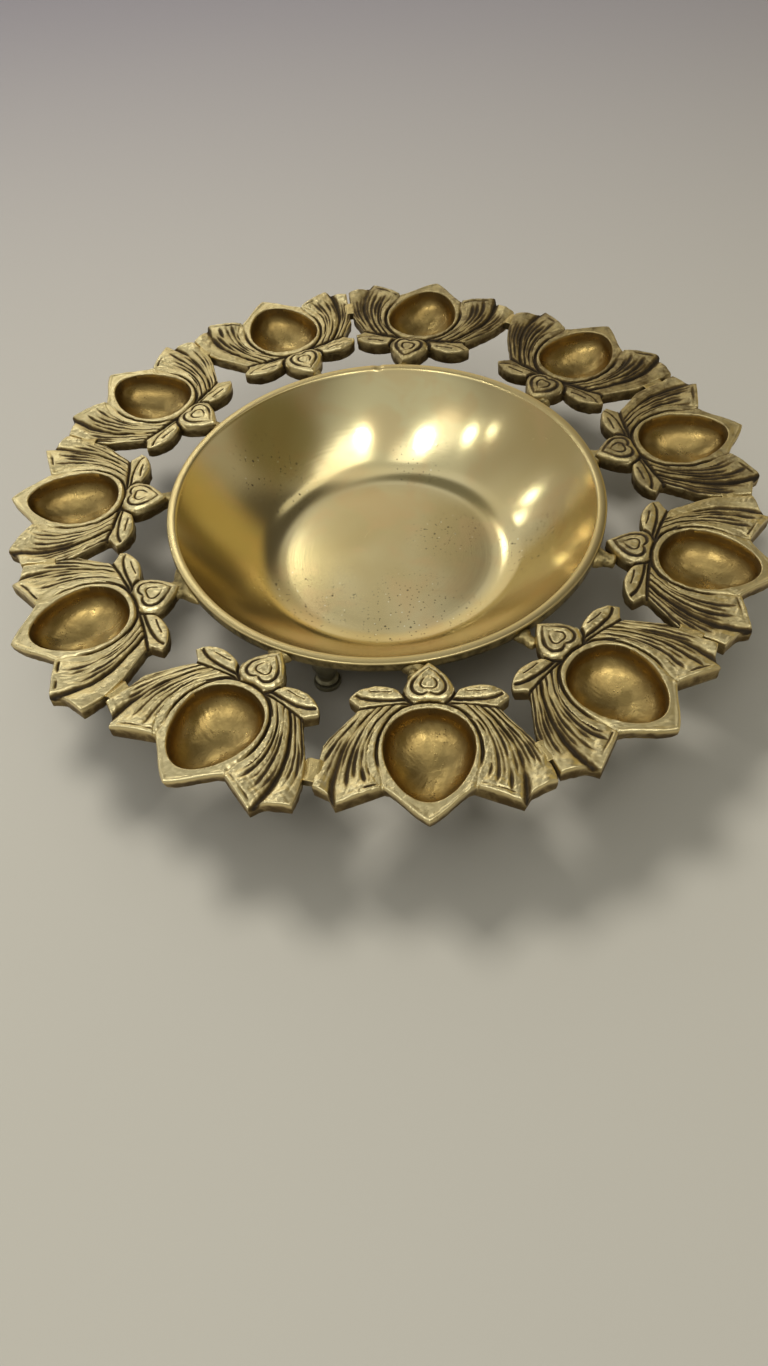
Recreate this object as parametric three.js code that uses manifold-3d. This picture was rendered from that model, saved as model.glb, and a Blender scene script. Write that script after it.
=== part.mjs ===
// Brass urli: a shallow bowl for floating flowers, ringed by eleven lotus-shaped oil lamps.
// Millimetres and degrees, +Z up. The feet stand on Z = 0 and the whole object's box is centred on X = Y = 0.

import * as THREE from 'three';
import { mergeVertices } from 'three/addons/utils/BufferGeometryUtils.js';
import Module from 'manifold-3d';

const wasm = await Module();
wasm.setup();

// ------------------------------------------------------------------ driving dimensions

const CLEARANCE = 0.3; // gap left for the brazing alloy wherever two pieces meet

// Bowl
const RIM_RADIUS = 102;
const LIP_WIDTH = 3.8; // flat ring on top of the wall
const LIP_HEIGHT = 5; // upright band outside
const LIP_ROUND = 0.7;
const BOWL_DEPTH = 38; // inside, lip to floor
const BOWL_WALL = 3;
const FLOOR_RADIUS = 50; // flat part of the floor
const BEND_RADIUS = 20; // between the floor and the sloping wall
const BEND_ANGLE = 35; // slope at which the bend meets the wall
const BOWL_SEGMENTS = 48;
const BEND_STEPS = 4; // chords in the bend's section
const WALL_STEPS = 5; // chords in the wall's section

// Feet
const FOOT_COUNT = 3;
const FOOT_DROP = 15; // the bowl's underside above the ground
const FOOT_CIRCLE = 72;
const FOOT_START = -118;
const FOOT_TOP_RADIUS = 6.5;
const FOOT_WAIST_RADIUS = 4.2;
const FOOT_PAD_RADIUS = 6.5;
const FOOT_PAD_HEIGHT = 3;
const FOOT_SEGMENTS = 14;

// Lotus lamps: outward is +X and the left side is +Y in a lamp's own frame, top face at Z = 0
const LAMP_COUNT = 11;
const LAMP_START = -88;
const LAMP_SINK = 1; // top face below the lip
const PLATE = 6.5; // thickness of the petals
const BUD_REACH = 39.5; // from the lamp's centre to the bud's point
const BUD_GAP = 1.3; // between the bud's point and the rim, before hand setting
const BUD_RISE = 2.4; // domed top of the bud above the petals
const SEPAL_RISE = 1.2;
const RELIEF_ROUND = 1.8; // rounded shoulder of bud and sepals
const OUTLINE_STEPS = 3; // chords in each curve of the petals' outline
const RELIEF_STEPS = 4; // chords in each curve of the bud and sepals

// Oil cup in each lamp
const CUP_LENGTH = 43;
const CUP_WIDTH = 35;
const CUP_OFFSET = 5.5; // cup's middle outward of the lamp's centre
const CUP_TAPER = 0.18; // 0 is an ellipse, more is a sharper outer end
const CUP_DEPTH = 13;
const CUP_WALL = 2.2;
const CUP_RIM_WIDTH = 1.8;
const CUP_RIM_RISE = 1;
const CUP_SEGMENTS = 20;
const CUP_STEPS = 4; // chords in the cup's section
const CUP_FULLNESS = 0.8; // 1 is an ellipse, less is a fuller section

// Struts between buds and rim, webs between neighbouring petals
const STRUT_RADIUS = 2.8;
const STRUT_SINK = 4.2; // axis below the petals' top face
const STRUT_GRIP = 6; // length that lies in the bud
const STRUT_SEGMENTS = 12;
const WEB_THICKNESS = 4.6;
const WEB_SINK = 0.8; // top of a web below the petals' top face
const WEB_SPREAD = 13; // half-width before the petals cut it to length
const WEB_HOLLOW = 0.25; // dip of each long edge as a share of the web's width
const WEB_STEPS = 6; // chords in each hollow edge

// The lamps are set by hand, so each one's place differs a little from an even ring:
// slip in degrees along the ring, out in mm, turn in degrees, side is the strut's place on the bud in mm.
const HAND_SET = [
  { slip: 1.2, out: -1.0, turn: -8.0, side: -6.0 },
  { slip: -0.1, out: -1.0, turn: -7.0, side: -2.0 },
  { slip: -1.4, out: 1.5, turn: -4.0, side: -1.0 },
  { slip: 0.0, out: 0.5, turn: 0.0, side: -3.5 },
  { slip: 0.6, out: 0.0, turn: -1.0, side: -1.5 },
  { slip: 0.2, out: 1.5, turn: 3.0, side: -2.5 },
  { slip: 2.8, out: 1.0, turn: -8.0, side: 0.0 },
  { slip: -0.9, out: -3.0, turn: 5.5, side: -5.5 },
  { slip: -0.5, out: -0.5, turn: 0.5, side: 2.0 },
  { slip: -0.4, out: 0.5, turn: 1.0, side: -7.5 },
  { slip: 0.2, out: 0.0, turn: 3.0, side: -6.5 },
];

// From each lamp to the next: half the gap filed between their petals, and where the web starts and ends,
// measured out from the ring's middle.
const JOINS = [
  { gap: 2.2, inner: 6, outer: 17 },
  { gap: 2.2, inner: 7, outer: 18 },
  { gap: 1.6, inner: 10, outer: 20 },
  { gap: 1.5, inner: 10, outer: 18 },
  { gap: 1.0, inner: 9, outer: 18 },
  { gap: 2.0, inner: 10, outer: 20 },
  { gap: 1.0, inner: 8, outer: 18 },
  { gap: 2.5, inner: 8, outer: 18 },
  { gap: 1.5, inner: 11, outer: 21 },
  { gap: 2.0, inner: 5, outer: 17 },
  { gap: 1.0, inner: 10, outer: 20 },
];

// ------------------------------------------------------------------ derived places

const FLOOR_Z = FOOT_DROP + BOWL_WALL;
const LIP_Z = FLOOR_Z + BOWL_DEPTH;
const LAMP_Z = LIP_Z - LAMP_SINK;
const RING_RADIUS = RIM_RADIUS + BUD_REACH + BUD_GAP;
const FAR = 400; // larger than the whole object, for cutting half-spaces

const radians = THREE.MathUtils.degToRad;
const polar = (radius, degrees) =>
  new THREE.Vector2(radius * Math.cos(radians(degrees)), radius * Math.sin(radians(degrees)));

// ------------------------------------------------------------------ solids and meshes

function toSolid(geometry, matrix) {
  const bare = geometry.clone();
  if (matrix) bare.applyMatrix4(matrix);
  bare.deleteAttribute('normal');
  bare.deleteAttribute('uv');
  const merged = mergeVertices(bare, 1e-4);
  return new wasm.Manifold(
    new wasm.Mesh({
      numProp: 3,
      vertProperties: new Float32Array(merged.attributes.position.array),
      triVerts: new Uint32Array(merged.index.array),
    }),
  );
}

function toGeometry(solid) {
  const result = solid.getMesh();
  const geometry = new THREE.BufferGeometry();
  geometry.setAttribute('position', new THREE.BufferAttribute(result.vertProperties, 3));
  geometry.setIndex(new THREE.BufferAttribute(result.triVerts, 1));
  geometry.computeVertexNormals();
  return geometry;
}

function brass(color, roughness) {
  return new THREE.MeshStandardMaterial({ color, roughness, metalness: 1 });
}

function named(name, geometry, material) {
  const mesh = new THREE.Mesh(geometry, material);
  mesh.name = name;
  return mesh;
}

const numbered = (name, index) => `${name}_${String(index + 1).padStart(2, '0')}`;

// Turns a lathe profile of [radius, height] pairs about Z.
function lathe(profile, segments) {
  const points = profile.map(([radius, height]) => new THREE.Vector2(Math.max(radius, 0), height));
  return new THREE.LatheGeometry(points, segments).rotateX(Math.PI / 2);
}

// Extrudes an outline in X and Y from the bottom height to the top height.
function slab(outline, bottom, top) {
  const shape = new THREE.Shape(outline);
  const geometry = new THREE.ExtrudeGeometry(shape, { depth: top - bottom, bevelEnabled: false });
  return geometry.translate(0, 0, bottom);
}

// Extrudes an outline that keeps its width at the base and has a rounded shoulder at its top.
function dome(outline, bottom, top) {
  const shape = new THREE.Shape(outline);
  const geometry = new THREE.ExtrudeGeometry(shape, {
    depth: top - bottom - 2 * RELIEF_ROUND,
    bevelThickness: RELIEF_ROUND,
    bevelSize: RELIEF_ROUND,
    bevelOffset: -RELIEF_ROUND,
    bevelSegments: 1,
  });
  return geometry.translate(0, 0, bottom + RELIEF_ROUND);
}

// ------------------------------------------------------------------ bowl

// The bowl's inner curve from the floor's centre to the lip, moved outward by an offset along its normal.
function bowlCurve(offset) {
  const bendEnd = new THREE.Vector2(
    FLOOR_RADIUS + BEND_RADIUS * Math.sin(radians(BEND_ANGLE)),
    FLOOR_Z + BEND_RADIUS * (1 - Math.cos(radians(BEND_ANGLE))),
  );
  const chord = new THREE.Vector2(RIM_RADIUS - LIP_WIDTH, LIP_Z).sub(bendEnd);
  const lipAngle = (2 * 180 * chord.angle()) / Math.PI - BEND_ANGLE;
  const halfTurn = radians(lipAngle - BEND_ANGLE) / 2;
  const wallRadius = chord.length() / (2 * Math.sin(halfTurn));
  const points = [[0, FLOOR_Z - offset], [FLOOR_RADIUS / 2, FLOOR_Z - offset]];
  const arc = (centre, radius, from, to, steps) => {
    for (let i = 0; i <= steps; i++) {
      const slope = radians(from + ((to - from) * i) / steps);
      points.push([
        centre.x + (radius + offset) * Math.sin(slope),
        centre.y - (radius + offset) * Math.cos(slope),
      ]);
    }
  };
  arc(new THREE.Vector2(FLOOR_RADIUS, FLOOR_Z + BEND_RADIUS), BEND_RADIUS, 0, BEND_ANGLE, BEND_STEPS);
  const wallCentre = new THREE.Vector2(
    bendEnd.x - wallRadius * Math.sin(radians(BEND_ANGLE)),
    bendEnd.y + wallRadius * Math.cos(radians(BEND_ANGLE)),
  );
  points.pop();
  arc(wallCentre, wallRadius, BEND_ANGLE, lipAngle, WALL_STEPS);
  return points;
}

// The outside of the bowl from the foot of the lip band down to the axis, grown by a clearance.
function underside(grown) {
  const bandFoot = LIP_Z - LIP_HEIGHT - grown;
  const wall = bowlCurve(BOWL_WALL + grown).filter(([, height]) => height < bandFoot);
  return [[RIM_RADIUS + grown, bandFoot], ...wall.reverse()];
}

function bowlGeometry() {
  const inside = bowlCurve(0);
  const lip = [
    [RIM_RADIUS - LIP_ROUND, LIP_Z],
    [RIM_RADIUS, LIP_Z - LIP_ROUND],
  ];
  return lathe([...inside, ...lip, ...underside(0)].reverse(), BOWL_SEGMENTS);
}

// Everything inside the bowl's outer surface, grown by the clearance: what meets the bowl is cut by this.
function bowlEnvelope() {
  const top = LIP_Z + FAR;
  return lathe([[0, top], [RIM_RADIUS + CLEARANCE, top], ...underside(CLEARANCE)].reverse(), 2 * BOWL_SEGMENTS);
}

// ------------------------------------------------------------------ feet

// A foot about its own axis. The leg runs up past the bowl's underside, which it is then cut to.
function footGeometry() {
  const legTop = LIP_Z - LIP_HEIGHT;
  const profile = [
    [0, 0],
    [FOOT_PAD_RADIUS, 0],
    [FOOT_PAD_RADIUS, FOOT_PAD_HEIGHT],
    [FOOT_WAIST_RADIUS, 2 * FOOT_PAD_HEIGHT],
    [FOOT_TOP_RADIUS, FLOOR_Z],
    [FOOT_TOP_RADIUS, legTop],
    [0, legTop],
  ];
  return lathe(profile, FOOT_SEGMENTS);
}

// ------------------------------------------------------------------ lotus lamp outlines

// Samples one side of an outline and mirrors it. Each step is [end x, end y] or, for a curve,
// [control x, control y, end x, end y]. The first and last points lie on the middle line.
function mirrored(start, steps, divisions) {
  const path = new THREE.Path().moveTo(...start);
  for (const step of steps) {
    if (step.length === 2) path.lineTo(...step);
    else path.quadraticCurveTo(...step);
  }
  const side = path.getPoints(divisions);
  const other = side.slice(1, -1).reverse();
  return [...side, ...other.map((point) => new THREE.Vector2(point.x, -point.y))];
}

function lampOutline() {
  return mirrored(
    [35.5, 0],
    [
      [33.5, 4, 27, 10], // pointed outer petal
      [22.5, 14.5, 20.5, 17.5],
      [23.5, 25, 27.5, 35.5], // tip of the fluted petal
      [24, 37, 22.5, 38.5],
      [20, 43, 17.5, 48], // tip of the outer petal
      [7, 46, -3, 39],
      [-10, 33, -16, 28],
      [-20.5, 32, -24.5, 29], // sepal
      [-28.5, 22, -26.5, 13.5],
      [-24.5, 10.5], // hollow between sepal and bud
      [-31, 10.5, -BUD_REACH, 0], // bud
    ],
    OUTLINE_STEPS,
  );
}

function budOutline() {
  return mirrored([-19.5, 0], [[-19.2, 7, -22.5, 8.5], [-31, 11, -BUD_REACH + 1, 0]], RELIEF_STEPS);
}

function sepalOutline(side) {
  const leaf = new THREE.Shape().moveTo(-19.5, 9);
  leaf.quadraticCurveTo(-18.2, 20, -21, 29.4);
  leaf.quadraticCurveTo(-28, 24, -24.6, 12.5);
  const points = leaf.getPoints(RELIEF_STEPS);
  return points.map((point) => new THREE.Vector2(point.x, side * point.y));
}

// Maps a unit disc onto the cup's egg outline, grown by a margin.
function onCup(geometry, margin) {
  const position = geometry.attributes.position;
  for (let i = 0; i < position.count; i++) {
    const x = position.getX(i);
    const y = position.getY(i);
    const along = x / Math.max(Math.hypot(x, y), 1e-9);
    position.setX(i, CUP_OFFSET + x * (CUP_LENGTH / 2 + margin));
    position.setY(i, y * (CUP_WIDTH / 2 + margin) * (1 - CUP_TAPER * along));
  }
  return geometry;
}

// The cup's rounded section as [radius, height] pairs, from the bottom to full width at height 0.
function cupSection(depth) {
  return Array.from({ length: CUP_STEPS + 1 }, (_, i) => {
    const angle = (Math.PI / 2) * (i / CUP_STEPS);
    return [Math.sin(angle), -depth * Math.cos(angle) ** CUP_FULLNESS];
  });
}

// ------------------------------------------------------------------ lotus lamp

function lampPlacement(index) {
  const set = HAND_SET[index];
  const azimuth = LAMP_START - (360 / LAMP_COUNT) * index + set.slip;
  const centre = polar(RING_RADIUS + set.out, azimuth);
  const matrix = new THREE.Matrix4().makeRotationZ(radians(azimuth + set.turn));
  matrix.setPosition(centre.x, centre.y, LAMP_Z);
  return { azimuth, matrix };
}

// The azimuth of the plane midway between a lamp and the next one round.
function joinAzimuth(index) {
  const here = lampPlacement(index).azimuth;
  const next = lampPlacement((index + 1) % LAMP_COUNT).azimuth;
  return (here + next - (next > here ? 360 : 0)) / 2;
}

// The half-space that starts a gap past a join's plane and covers the neighbour's side: side -1 is the
// next lamp's, seen from the lamp before the join, and side 1 is the other way.
function beyondJoin(index, side, gap) {
  const box = new THREE.BoxGeometry(FAR, FAR, FAR).translate(FAR / 2, side * (FAR / 2 - gap), 0);
  return box.rotateZ(radians(joinAzimuth(index)));
}

function lampBody() {
  const cupBody = lathe([[0, -CUP_DEPTH - CUP_WALL], ...cupSection(CUP_DEPTH + CUP_WALL).slice(1), [0, 0]],
    CUP_SEGMENTS);
  const cupRim = lathe([[0, -PLATE / 2], [1, -PLATE / 2], [1, CUP_RIM_RISE], [0, CUP_RIM_RISE]], CUP_SEGMENTS);
  const hollow = lathe([...cupSection(CUP_DEPTH), [1, PLATE], [0, PLATE]], CUP_SEGMENTS);
  const buried = -PLATE / 2;
  return toSolid(slab(lampOutline(), -PLATE, 0))
    .add(toSolid(onCup(cupBody, CUP_WALL)))
    .add(toSolid(onCup(cupRim, CUP_RIM_WIDTH)))
    .add(toSolid(dome(budOutline(), buried - RELIEF_ROUND, BUD_RISE)))
    .add(toSolid(dome(sepalOutline(1), buried - RELIEF_ROUND, SEPAL_RISE)))
    .add(toSolid(dome(sepalOutline(-1), buried - RELIEF_ROUND, SEPAL_RISE)))
    .subtract(toSolid(onCup(hollow, 0)));
}

// A lamp's petals with a margin all round, for cutting the webs.
function lampEnvelope(index, margin) {
  const outline = lampOutline();
  const grown = outline.map((point, i) => {
    const before = outline[(i + outline.length - 1) % outline.length];
    const after = outline[(i + 1) % outline.length];
    const along = after.clone().sub(before).normalize();
    return new THREE.Vector2(point.x + along.y * margin, point.y - along.x * margin);
  });
  const previous = (index + LAMP_COUNT - 1) % LAMP_COUNT;
  return toSolid(slab(grown, -PLATE - margin, BUD_RISE), lampPlacement(index).matrix)
    .subtract(toSolid(beyondJoin(index, -1, JOINS[index].gap - margin)))
    .subtract(toSolid(beyondJoin(previous, 1, JOINS[previous].gap - margin)));
}

// ------------------------------------------------------------------ struts and webs

// A strut's rod in the lamp's own frame, from inside the bud to past the rim.
function strutRod(index, grown) {
  const { side } = HAND_SET[index];
  const start = -BUD_REACH + STRUT_GRIP;
  const length = STRUT_GRIP + BUD_GAP + LIP_WIDTH + grown;
  const rod = new THREE.CylinderGeometry(STRUT_RADIUS + grown, STRUT_RADIUS + grown, length, STRUT_SEGMENTS);
  return rod.rotateZ(Math.PI / 2).translate(start - length / 2 + grown, side, -STRUT_SINK);
}

function webGeometry(index) {
  const { inner, outer } = JOINS[index];
  const corner = (outer - inner) * WEB_HOLLOW;
  const outline = new THREE.Shape().moveTo(RING_RADIUS + inner, -WEB_SPREAD);
  outline.lineTo(RING_RADIUS + outer, -WEB_SPREAD);
  outline.quadraticCurveTo(RING_RADIUS + outer - corner, 0, RING_RADIUS + outer, WEB_SPREAD);
  outline.lineTo(RING_RADIUS + inner, WEB_SPREAD);
  outline.quadraticCurveTo(RING_RADIUS + inner + corner, 0, RING_RADIUS + inner, -WEB_SPREAD);
  const top = LAMP_Z - WEB_SINK;
  const web = slab(outline.getPoints(WEB_STEPS).slice(0, -1), top - WEB_THICKNESS, top);
  return web.rotateZ(radians(joinAzimuth(index)));
}

// ------------------------------------------------------------------ assembly

const urli = new THREE.Group();
const envelope = bowlEnvelope();

urli.add(named('bowl', bowlGeometry(), brass(0xb39a63, 0.32)));

const footSolid = toSolid(footGeometry());
for (let i = 0; i < FOOT_COUNT; i++) {
  const place = polar(FOOT_CIRCLE, FOOT_START + (360 / FOOT_COUNT) * i);
  const bowlHere = new THREE.Matrix4().makeTranslation(-place.x, -place.y, 0);
  const foot = named(
    numbered('foot', i),
    toGeometry(footSolid.subtract(toSolid(envelope, bowlHere))),
    brass(0x8f7a4a, 0.45),
  );
  foot.position.set(place.x, place.y, 0);
  urli.add(foot);
}

const body = lampBody();
for (let i = 0; i < LAMP_COUNT; i++) {
  const { matrix } = lampPlacement(i);
  const back = matrix.clone().invert();
  const previous = (i + LAMP_COUNT - 1) % LAMP_COUNT;
  const bowlHere = toSolid(envelope, back);
  const lamp = named(
    numbered('lotus_diya', i),
    toGeometry(
      body
        .subtract(bowlHere)
        .subtract(toSolid(beyondJoin(i, -1, JOINS[i].gap), back))
        .subtract(toSolid(beyondJoin(previous, 1, JOINS[previous].gap), back))
        .subtract(toSolid(strutRod(i, CLEARANCE))),
    ),
    brass(0xb7a06a, 0.42),
  );
  lamp.applyMatrix4(matrix);
  urli.add(lamp);
  const strut = named(
    numbered('rim_strut', i),
    toGeometry(toSolid(strutRod(i, 0)).subtract(bowlHere)),
    brass(0xa8905a, 0.5),
  );
  strut.applyMatrix4(matrix);
  urli.add(strut);
}

for (let i = 0; i < LAMP_COUNT; i++) {
  const next = (i + 1) % LAMP_COUNT;
  const web = toSolid(webGeometry(i))
    .subtract(lampEnvelope(i, CLEARANCE))
    .subtract(lampEnvelope(next, CLEARANCE));
  urli.add(named(numbered('bridge', i), toGeometry(web), brass(0xa99462, 0.5)));
}

// Centre the whole object's box over the origin.
urli.updateMatrixWorld(true);
const middle = new THREE.Box3().setFromObject(urli, true).getCenter(new THREE.Vector3());
urli.position.set(-middle.x, -middle.y, 0);

export default urli;
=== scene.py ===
import math

import bpy
import numpy as np
from mathutils import Matrix, Vector


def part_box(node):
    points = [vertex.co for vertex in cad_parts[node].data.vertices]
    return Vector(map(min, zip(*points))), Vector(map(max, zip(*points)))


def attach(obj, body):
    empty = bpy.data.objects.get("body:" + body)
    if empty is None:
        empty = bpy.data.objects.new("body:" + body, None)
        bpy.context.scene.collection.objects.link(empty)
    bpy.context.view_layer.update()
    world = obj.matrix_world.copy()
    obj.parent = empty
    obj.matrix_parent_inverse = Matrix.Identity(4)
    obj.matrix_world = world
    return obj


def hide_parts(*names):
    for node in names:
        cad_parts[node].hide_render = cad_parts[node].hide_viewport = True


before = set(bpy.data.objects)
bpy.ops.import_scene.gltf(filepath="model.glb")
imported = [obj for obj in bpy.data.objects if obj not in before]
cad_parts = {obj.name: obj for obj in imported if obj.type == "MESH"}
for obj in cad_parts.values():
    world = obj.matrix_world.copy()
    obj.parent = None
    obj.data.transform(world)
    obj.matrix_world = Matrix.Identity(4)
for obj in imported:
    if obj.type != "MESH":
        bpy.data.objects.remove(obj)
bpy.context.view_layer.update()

bl_info = {
    "name": "Brass Urli with Lotus Lamps",
    "version": (1, 0, 0),
    "blender": (4, 5, 0),
    "location": "3D View > Sidebar > Urli",
    "description": "Builds a brass urli bowl with a ring of lotus-shaped oil lamps",
    "category": "Object",
}

# ------------------------------------------------------------------ frame and shared sizes

MM = 0.001
BOWL_LOW, BOWL_HIGH = (Vector(corner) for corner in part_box("bowl"))
AXIS_X = (BOWL_LOW.x + BOWL_HIGH.x) / 2 / MM
AXIS_Y = (BOWL_LOW.y + BOWL_HIGH.y) / 2 / MM
RIM_RADIUS = (BOWL_HIGH.x - BOWL_LOW.x) / 2 / MM
LIP_Z = BOWL_HIGH.z / MM
UNDERSIDE_Z = BOWL_LOW.z / MM

LAMP_COUNT = 11
LAMP_START = -88.0
FOOT_COUNT = 3

# How each lamp is set: slip along the ring in degrees, shift outward in mm, turn in degrees,
# the strut's place across the bud in mm, and how plain the left and right outer petals are, 0 to 1.
HAND_SET = (
    (1.2, -1.0, -8.0, -6.0, 0.0, 0.3),
    (-0.1, -1.0, -7.0, -2.0, 0.0, 0.2),
    (-1.4, 1.5, -4.0, -1.0, 1.0, 0.0),
    (0.0, 0.5, 0.0, -3.5, 0.2, 0.0),
    (0.6, 0.0, -1.0, -1.5, 0.0, 0.3),
    (0.2, 1.5, 3.0, -2.5, 0.8, 0.0),
    (2.8, 1.0, -8.0, 0.0, 0.3, 0.3),
    (-0.9, -3.0, 5.5, -5.5, 0.2, 0.9),
    (-0.5, -0.5, 0.5, 2.0, 0.9, 0.0),
    (-0.4, 0.5, 1.0, -7.5, 1.0, 0.0),
    (0.2, 0.0, 3.0, -6.5, 0.0, 0.0),
)

# How much brighter (or, below zero, browner) each lamp is painted: partly rubbed wear, partly painted light,
# brighter on the left lamps and darker on the right and back ones.
WEAR_AND_PAINTED_LIGHT = (0.06, 0.20, 0.16, 0.06, 0.02, -0.10, -0.32, -0.40, -0.34, -0.21, -0.12)

# How large a lump of brazing joins each lamp's bud to the rim.
STRUT_SIZE = (1.0, 1.0, 1.55, 0.95, 0.9, 0.95, 1.0, 1.1, 1.25, 1.1, 0.85)
SPREAD_STRUTS = (2, 7)  # these run out furthest along the rim

# From each lamp to the next: half the gap between their petals, and the web's inner and outer edge
# measured outward from the lamps' centres, all in mm.
JOINS = (
    (2.2, 6.0, 17.0),
    (2.2, 7.0, 18.0),
    (1.6, 10.0, 20.0),
    (1.5, 10.0, 18.0),
    (1.0, 9.0, 18.0),
    (2.0, 10.0, 20.0),
    (1.0, 8.0, 18.0),
    (2.5, 8.0, 18.0),
    (1.5, 11.0, 21.0),
    (2.0, 5.0, 17.0),
    (1.0, 10.0, 20.0),
)

# A lamp's outline on one side, from the outer point to the bud's point, in mm. X is outward.
# Each step is (end x, end y) or, for a curve, (control x, control y, end x, end y).
LAMP_POINT = (35.5, 0.0)
LAMP_STEPS = (
    (33.5, 4, 27, 10),
    (22.5, 14.5, 20.5, 17.5),
    (23.5, 25, 27.5, 35.5),
    (24, 37, 22.5, 38.5),
    (20, 43, 17.5, 48),
    (7, 46, -3, 39),
    (-10, 33, -16, 28),
    (-17.8, 27.6),
    (-21.6, 31.9),
    (-26.6, 29.8, -27.8, 21.5),
    (-27.6, 16, -25.6, 12.4),
    (-24.5, 10.5),
    (-31, 10.5, -39.5, 0),
)

# Lines that divide a lamp's top into cup, petals, sepals and bud, on one side.
CUP_GROOVE = ((-19.4, 0), (-18.7, 5.5), (-16.8, 10.3), (-13.2, 14.4), (-8, 17.7), (-2, 19.7), (4, 20.3),
              (9, 19.8), (13, 18.7), (17, 17.9), (21.5, 17.5))
WING_BASE = ((-19, 7), (-18.4, 14), (-17.6, 21), (-16.4, 28.5))
SEPAL_LINE = ((-20.6, 9.5), (-20.4, 15), (-20.6, 21), (-21.6, 26), (-23.2, 29))
SEPAL_VEIN = ((-24.4, 15), (-24.2, 19), (-24.4, 23))
BUD_SIDE = ((-18.9, 6.5), (-21.2, 9), (-24.6, 11))
BUD_RING = ((-19.6, 0), (-19.8, 5), (-21.6, 8.3), (-25, 9.7), (-29, 9.1), (-33, 6.6), (-36.5, 3.4), (-39.5, 0))
BUD_MIDDLE = -27.5
WING_TOP = (
    (20.5, 17.5), (22.3, 22), (24.3, 28), (27.5, 35.5), (24.6, 36.8), (22.5, 38.5), (20, 43), (17.5, 48),
)
WING_EDGE = ((-19, 25), (-16, 28), (-9.7, 33.3), (-3, 39), (7.1, 44.7), (17.5, 48), (30, 50), (42, 50))

# Flutes across a petal pair: place from the cup (0) to the wing's edge (1), depth in mm, and where the
# flute starts and ends between the base (0) and the petal's point (1).
FLUTES = (
    (0.09, 1.0, -0.2, 0.90),
    (0.18, 0.8, 0.24, 0.84),
    (0.27, 1.1, -0.2, 0.93),
    (0.36, 0.9, 0.28, 0.88),
    (0.455, 1.2, -0.2, 0.93),
    (0.545, 0.8, 0.30, 0.86),
    (0.635, 1.7, -0.2, 1.2),
    (0.72, 0.8, 0.28, 0.84),
    (0.80, 1.0, -0.2, 0.82),
    (0.88, 0.7, 0.32, 0.82),
    (0.945, 0.9, -0.2, 0.68),
)
DIVIDING_FLUTE = 6


# ------------------------------------------------------------------ settings


def size(name, description, default):
    """A length property."""
    return bpy.props.FloatProperty(name=name, description=description, default=default, unit="LENGTH")


def tint(name, description, default):
    """A colour property."""
    return bpy.props.FloatVectorProperty(
        name=name, description=description, default=default, subtype="COLOR", min=0, max=1)


class URLI_PG_bowl(bpy.types.PropertyGroup):
    """Sizes and colours of the bowl."""

    lip_width: size("Lip Width", "Flat ring on top of the wall", 0.0038)
    lip_height: size("Lip Height", "Upright band outside the lip", 0.005)
    wall: size("Wall", "Thickness of the bowl's wall", 0.003)
    floor_radius: size("Floor Radius", "Flat part of the floor", 0.05)
    bend_radius: size("Bend Radius", "Curve between floor and wall", 0.027)
    bend_angle: bpy.props.FloatProperty(
        name="Bend Angle", description="Slope where the bend meets the wall", default=math.radians(35),
        subtype="ANGLE")
    color: tint("Brass", "Colour of the satin brass", (0.66, 0.545, 0.28))
    tarnish: tint("Tarnish", "Colour of the duller patches", (0.57, 0.44, 0.19))


class URLI_PG_lamp(bpy.types.PropertyGroup):
    """Sizes and colours of the lotus lamps."""

    plate: size("Petal Thickness", "Thickness of the petals", 0.0065)
    sink: size("Sink", "Petals' top face below the lip", 0.001)
    cup_depth: size("Cup Depth", "Depth of the oil cup", 0.013)
    cup_wall: size("Cup Wall", "Thickness of the cup under the petals", 0.0022)
    bud_rise: size("Bud Rise", "Height of the bud above the petals", 0.0022)
    bright: tint("Rubbed Brass", "Colour of the ridges", (0.77, 0.63, 0.325))
    middle: tint("Aged Brass", "Colour between ridge and groove", (0.48, 0.365, 0.155))
    brown: tint("Stain", "Brown on the flanks of the grooves", (0.15, 0.098, 0.036))
    patina: tint("Patina", "Dark colour in the grooves", (0.030, 0.019, 0.007))
    cup: tint("Cup Brass", "Colour inside the oil cups", (0.50, 0.345, 0.118))


class URLI_PG_joints(bpy.types.PropertyGroup):
    """Sizes and colours of the brazed struts and webs."""

    strut_radius: size("Strut Radius", "Radius of a strut at its middle", 0.0029)
    web_thickness: size("Web Thickness", "Thickness of a web", 0.0046)
    color: tint("Brazing", "Colour of the brazing metal", (0.50, 0.38, 0.16))


class URLI_PG_feet(bpy.types.PropertyGroup):
    """Sizes and colour of the feet."""

    waist: size("Waist Radius", "Narrowest part of a foot", 0.0042)
    pad_height: size("Pad Height", "Height of the pad on the ground", 0.003)
    # A dull cast brass, toned darker and greyer as painted shade for feet that stand in the shade under the
    # bowl.
    color: tint("Foot Brass in Painted Shade", "Colour of the feet", (0.27, 0.245, 0.155))


class URLI_PG_stage(bpy.types.PropertyGroup):
    """Floor, light and lens."""

    floor_color: tint("Floor", "Colour of the floor in front", (0.335, 0.31, 0.252))
    # The far colour is much darker than the front one: a painted fall-off of light towards the back.
    floor_far_shade_color: tint("Far Floor", "Colour of the floor at the back", (0.092, 0.079, 0.108))
    sky_strength: bpy.props.FloatProperty(
        name="Room Light", description="Strength of the soft light all round", default=0.8, min=0)
    lens: bpy.props.FloatProperty(
        name="Lens", description="Focal length in mm on a 36 mm tall frame", default=28.07, min=1)


# ------------------------------------------------------------------ curves and fields


def trace(start, steps, divisions):
    """Points along straight and curved steps, as an array of rows."""
    points = [np.array(start, float)]
    for step in steps:
        last = points[-1]
        end = np.array(step[-2:], float)
        if len(step) == 2:
            points.append(end)
            continue
        control = np.array(step[:2], float)
        for i in range(1, divisions + 1):
            t = i / divisions
            points.append((1 - t) ** 2 * last + 2 * t * (1 - t) * control + t * t * end)
    return np.array(points)


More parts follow.
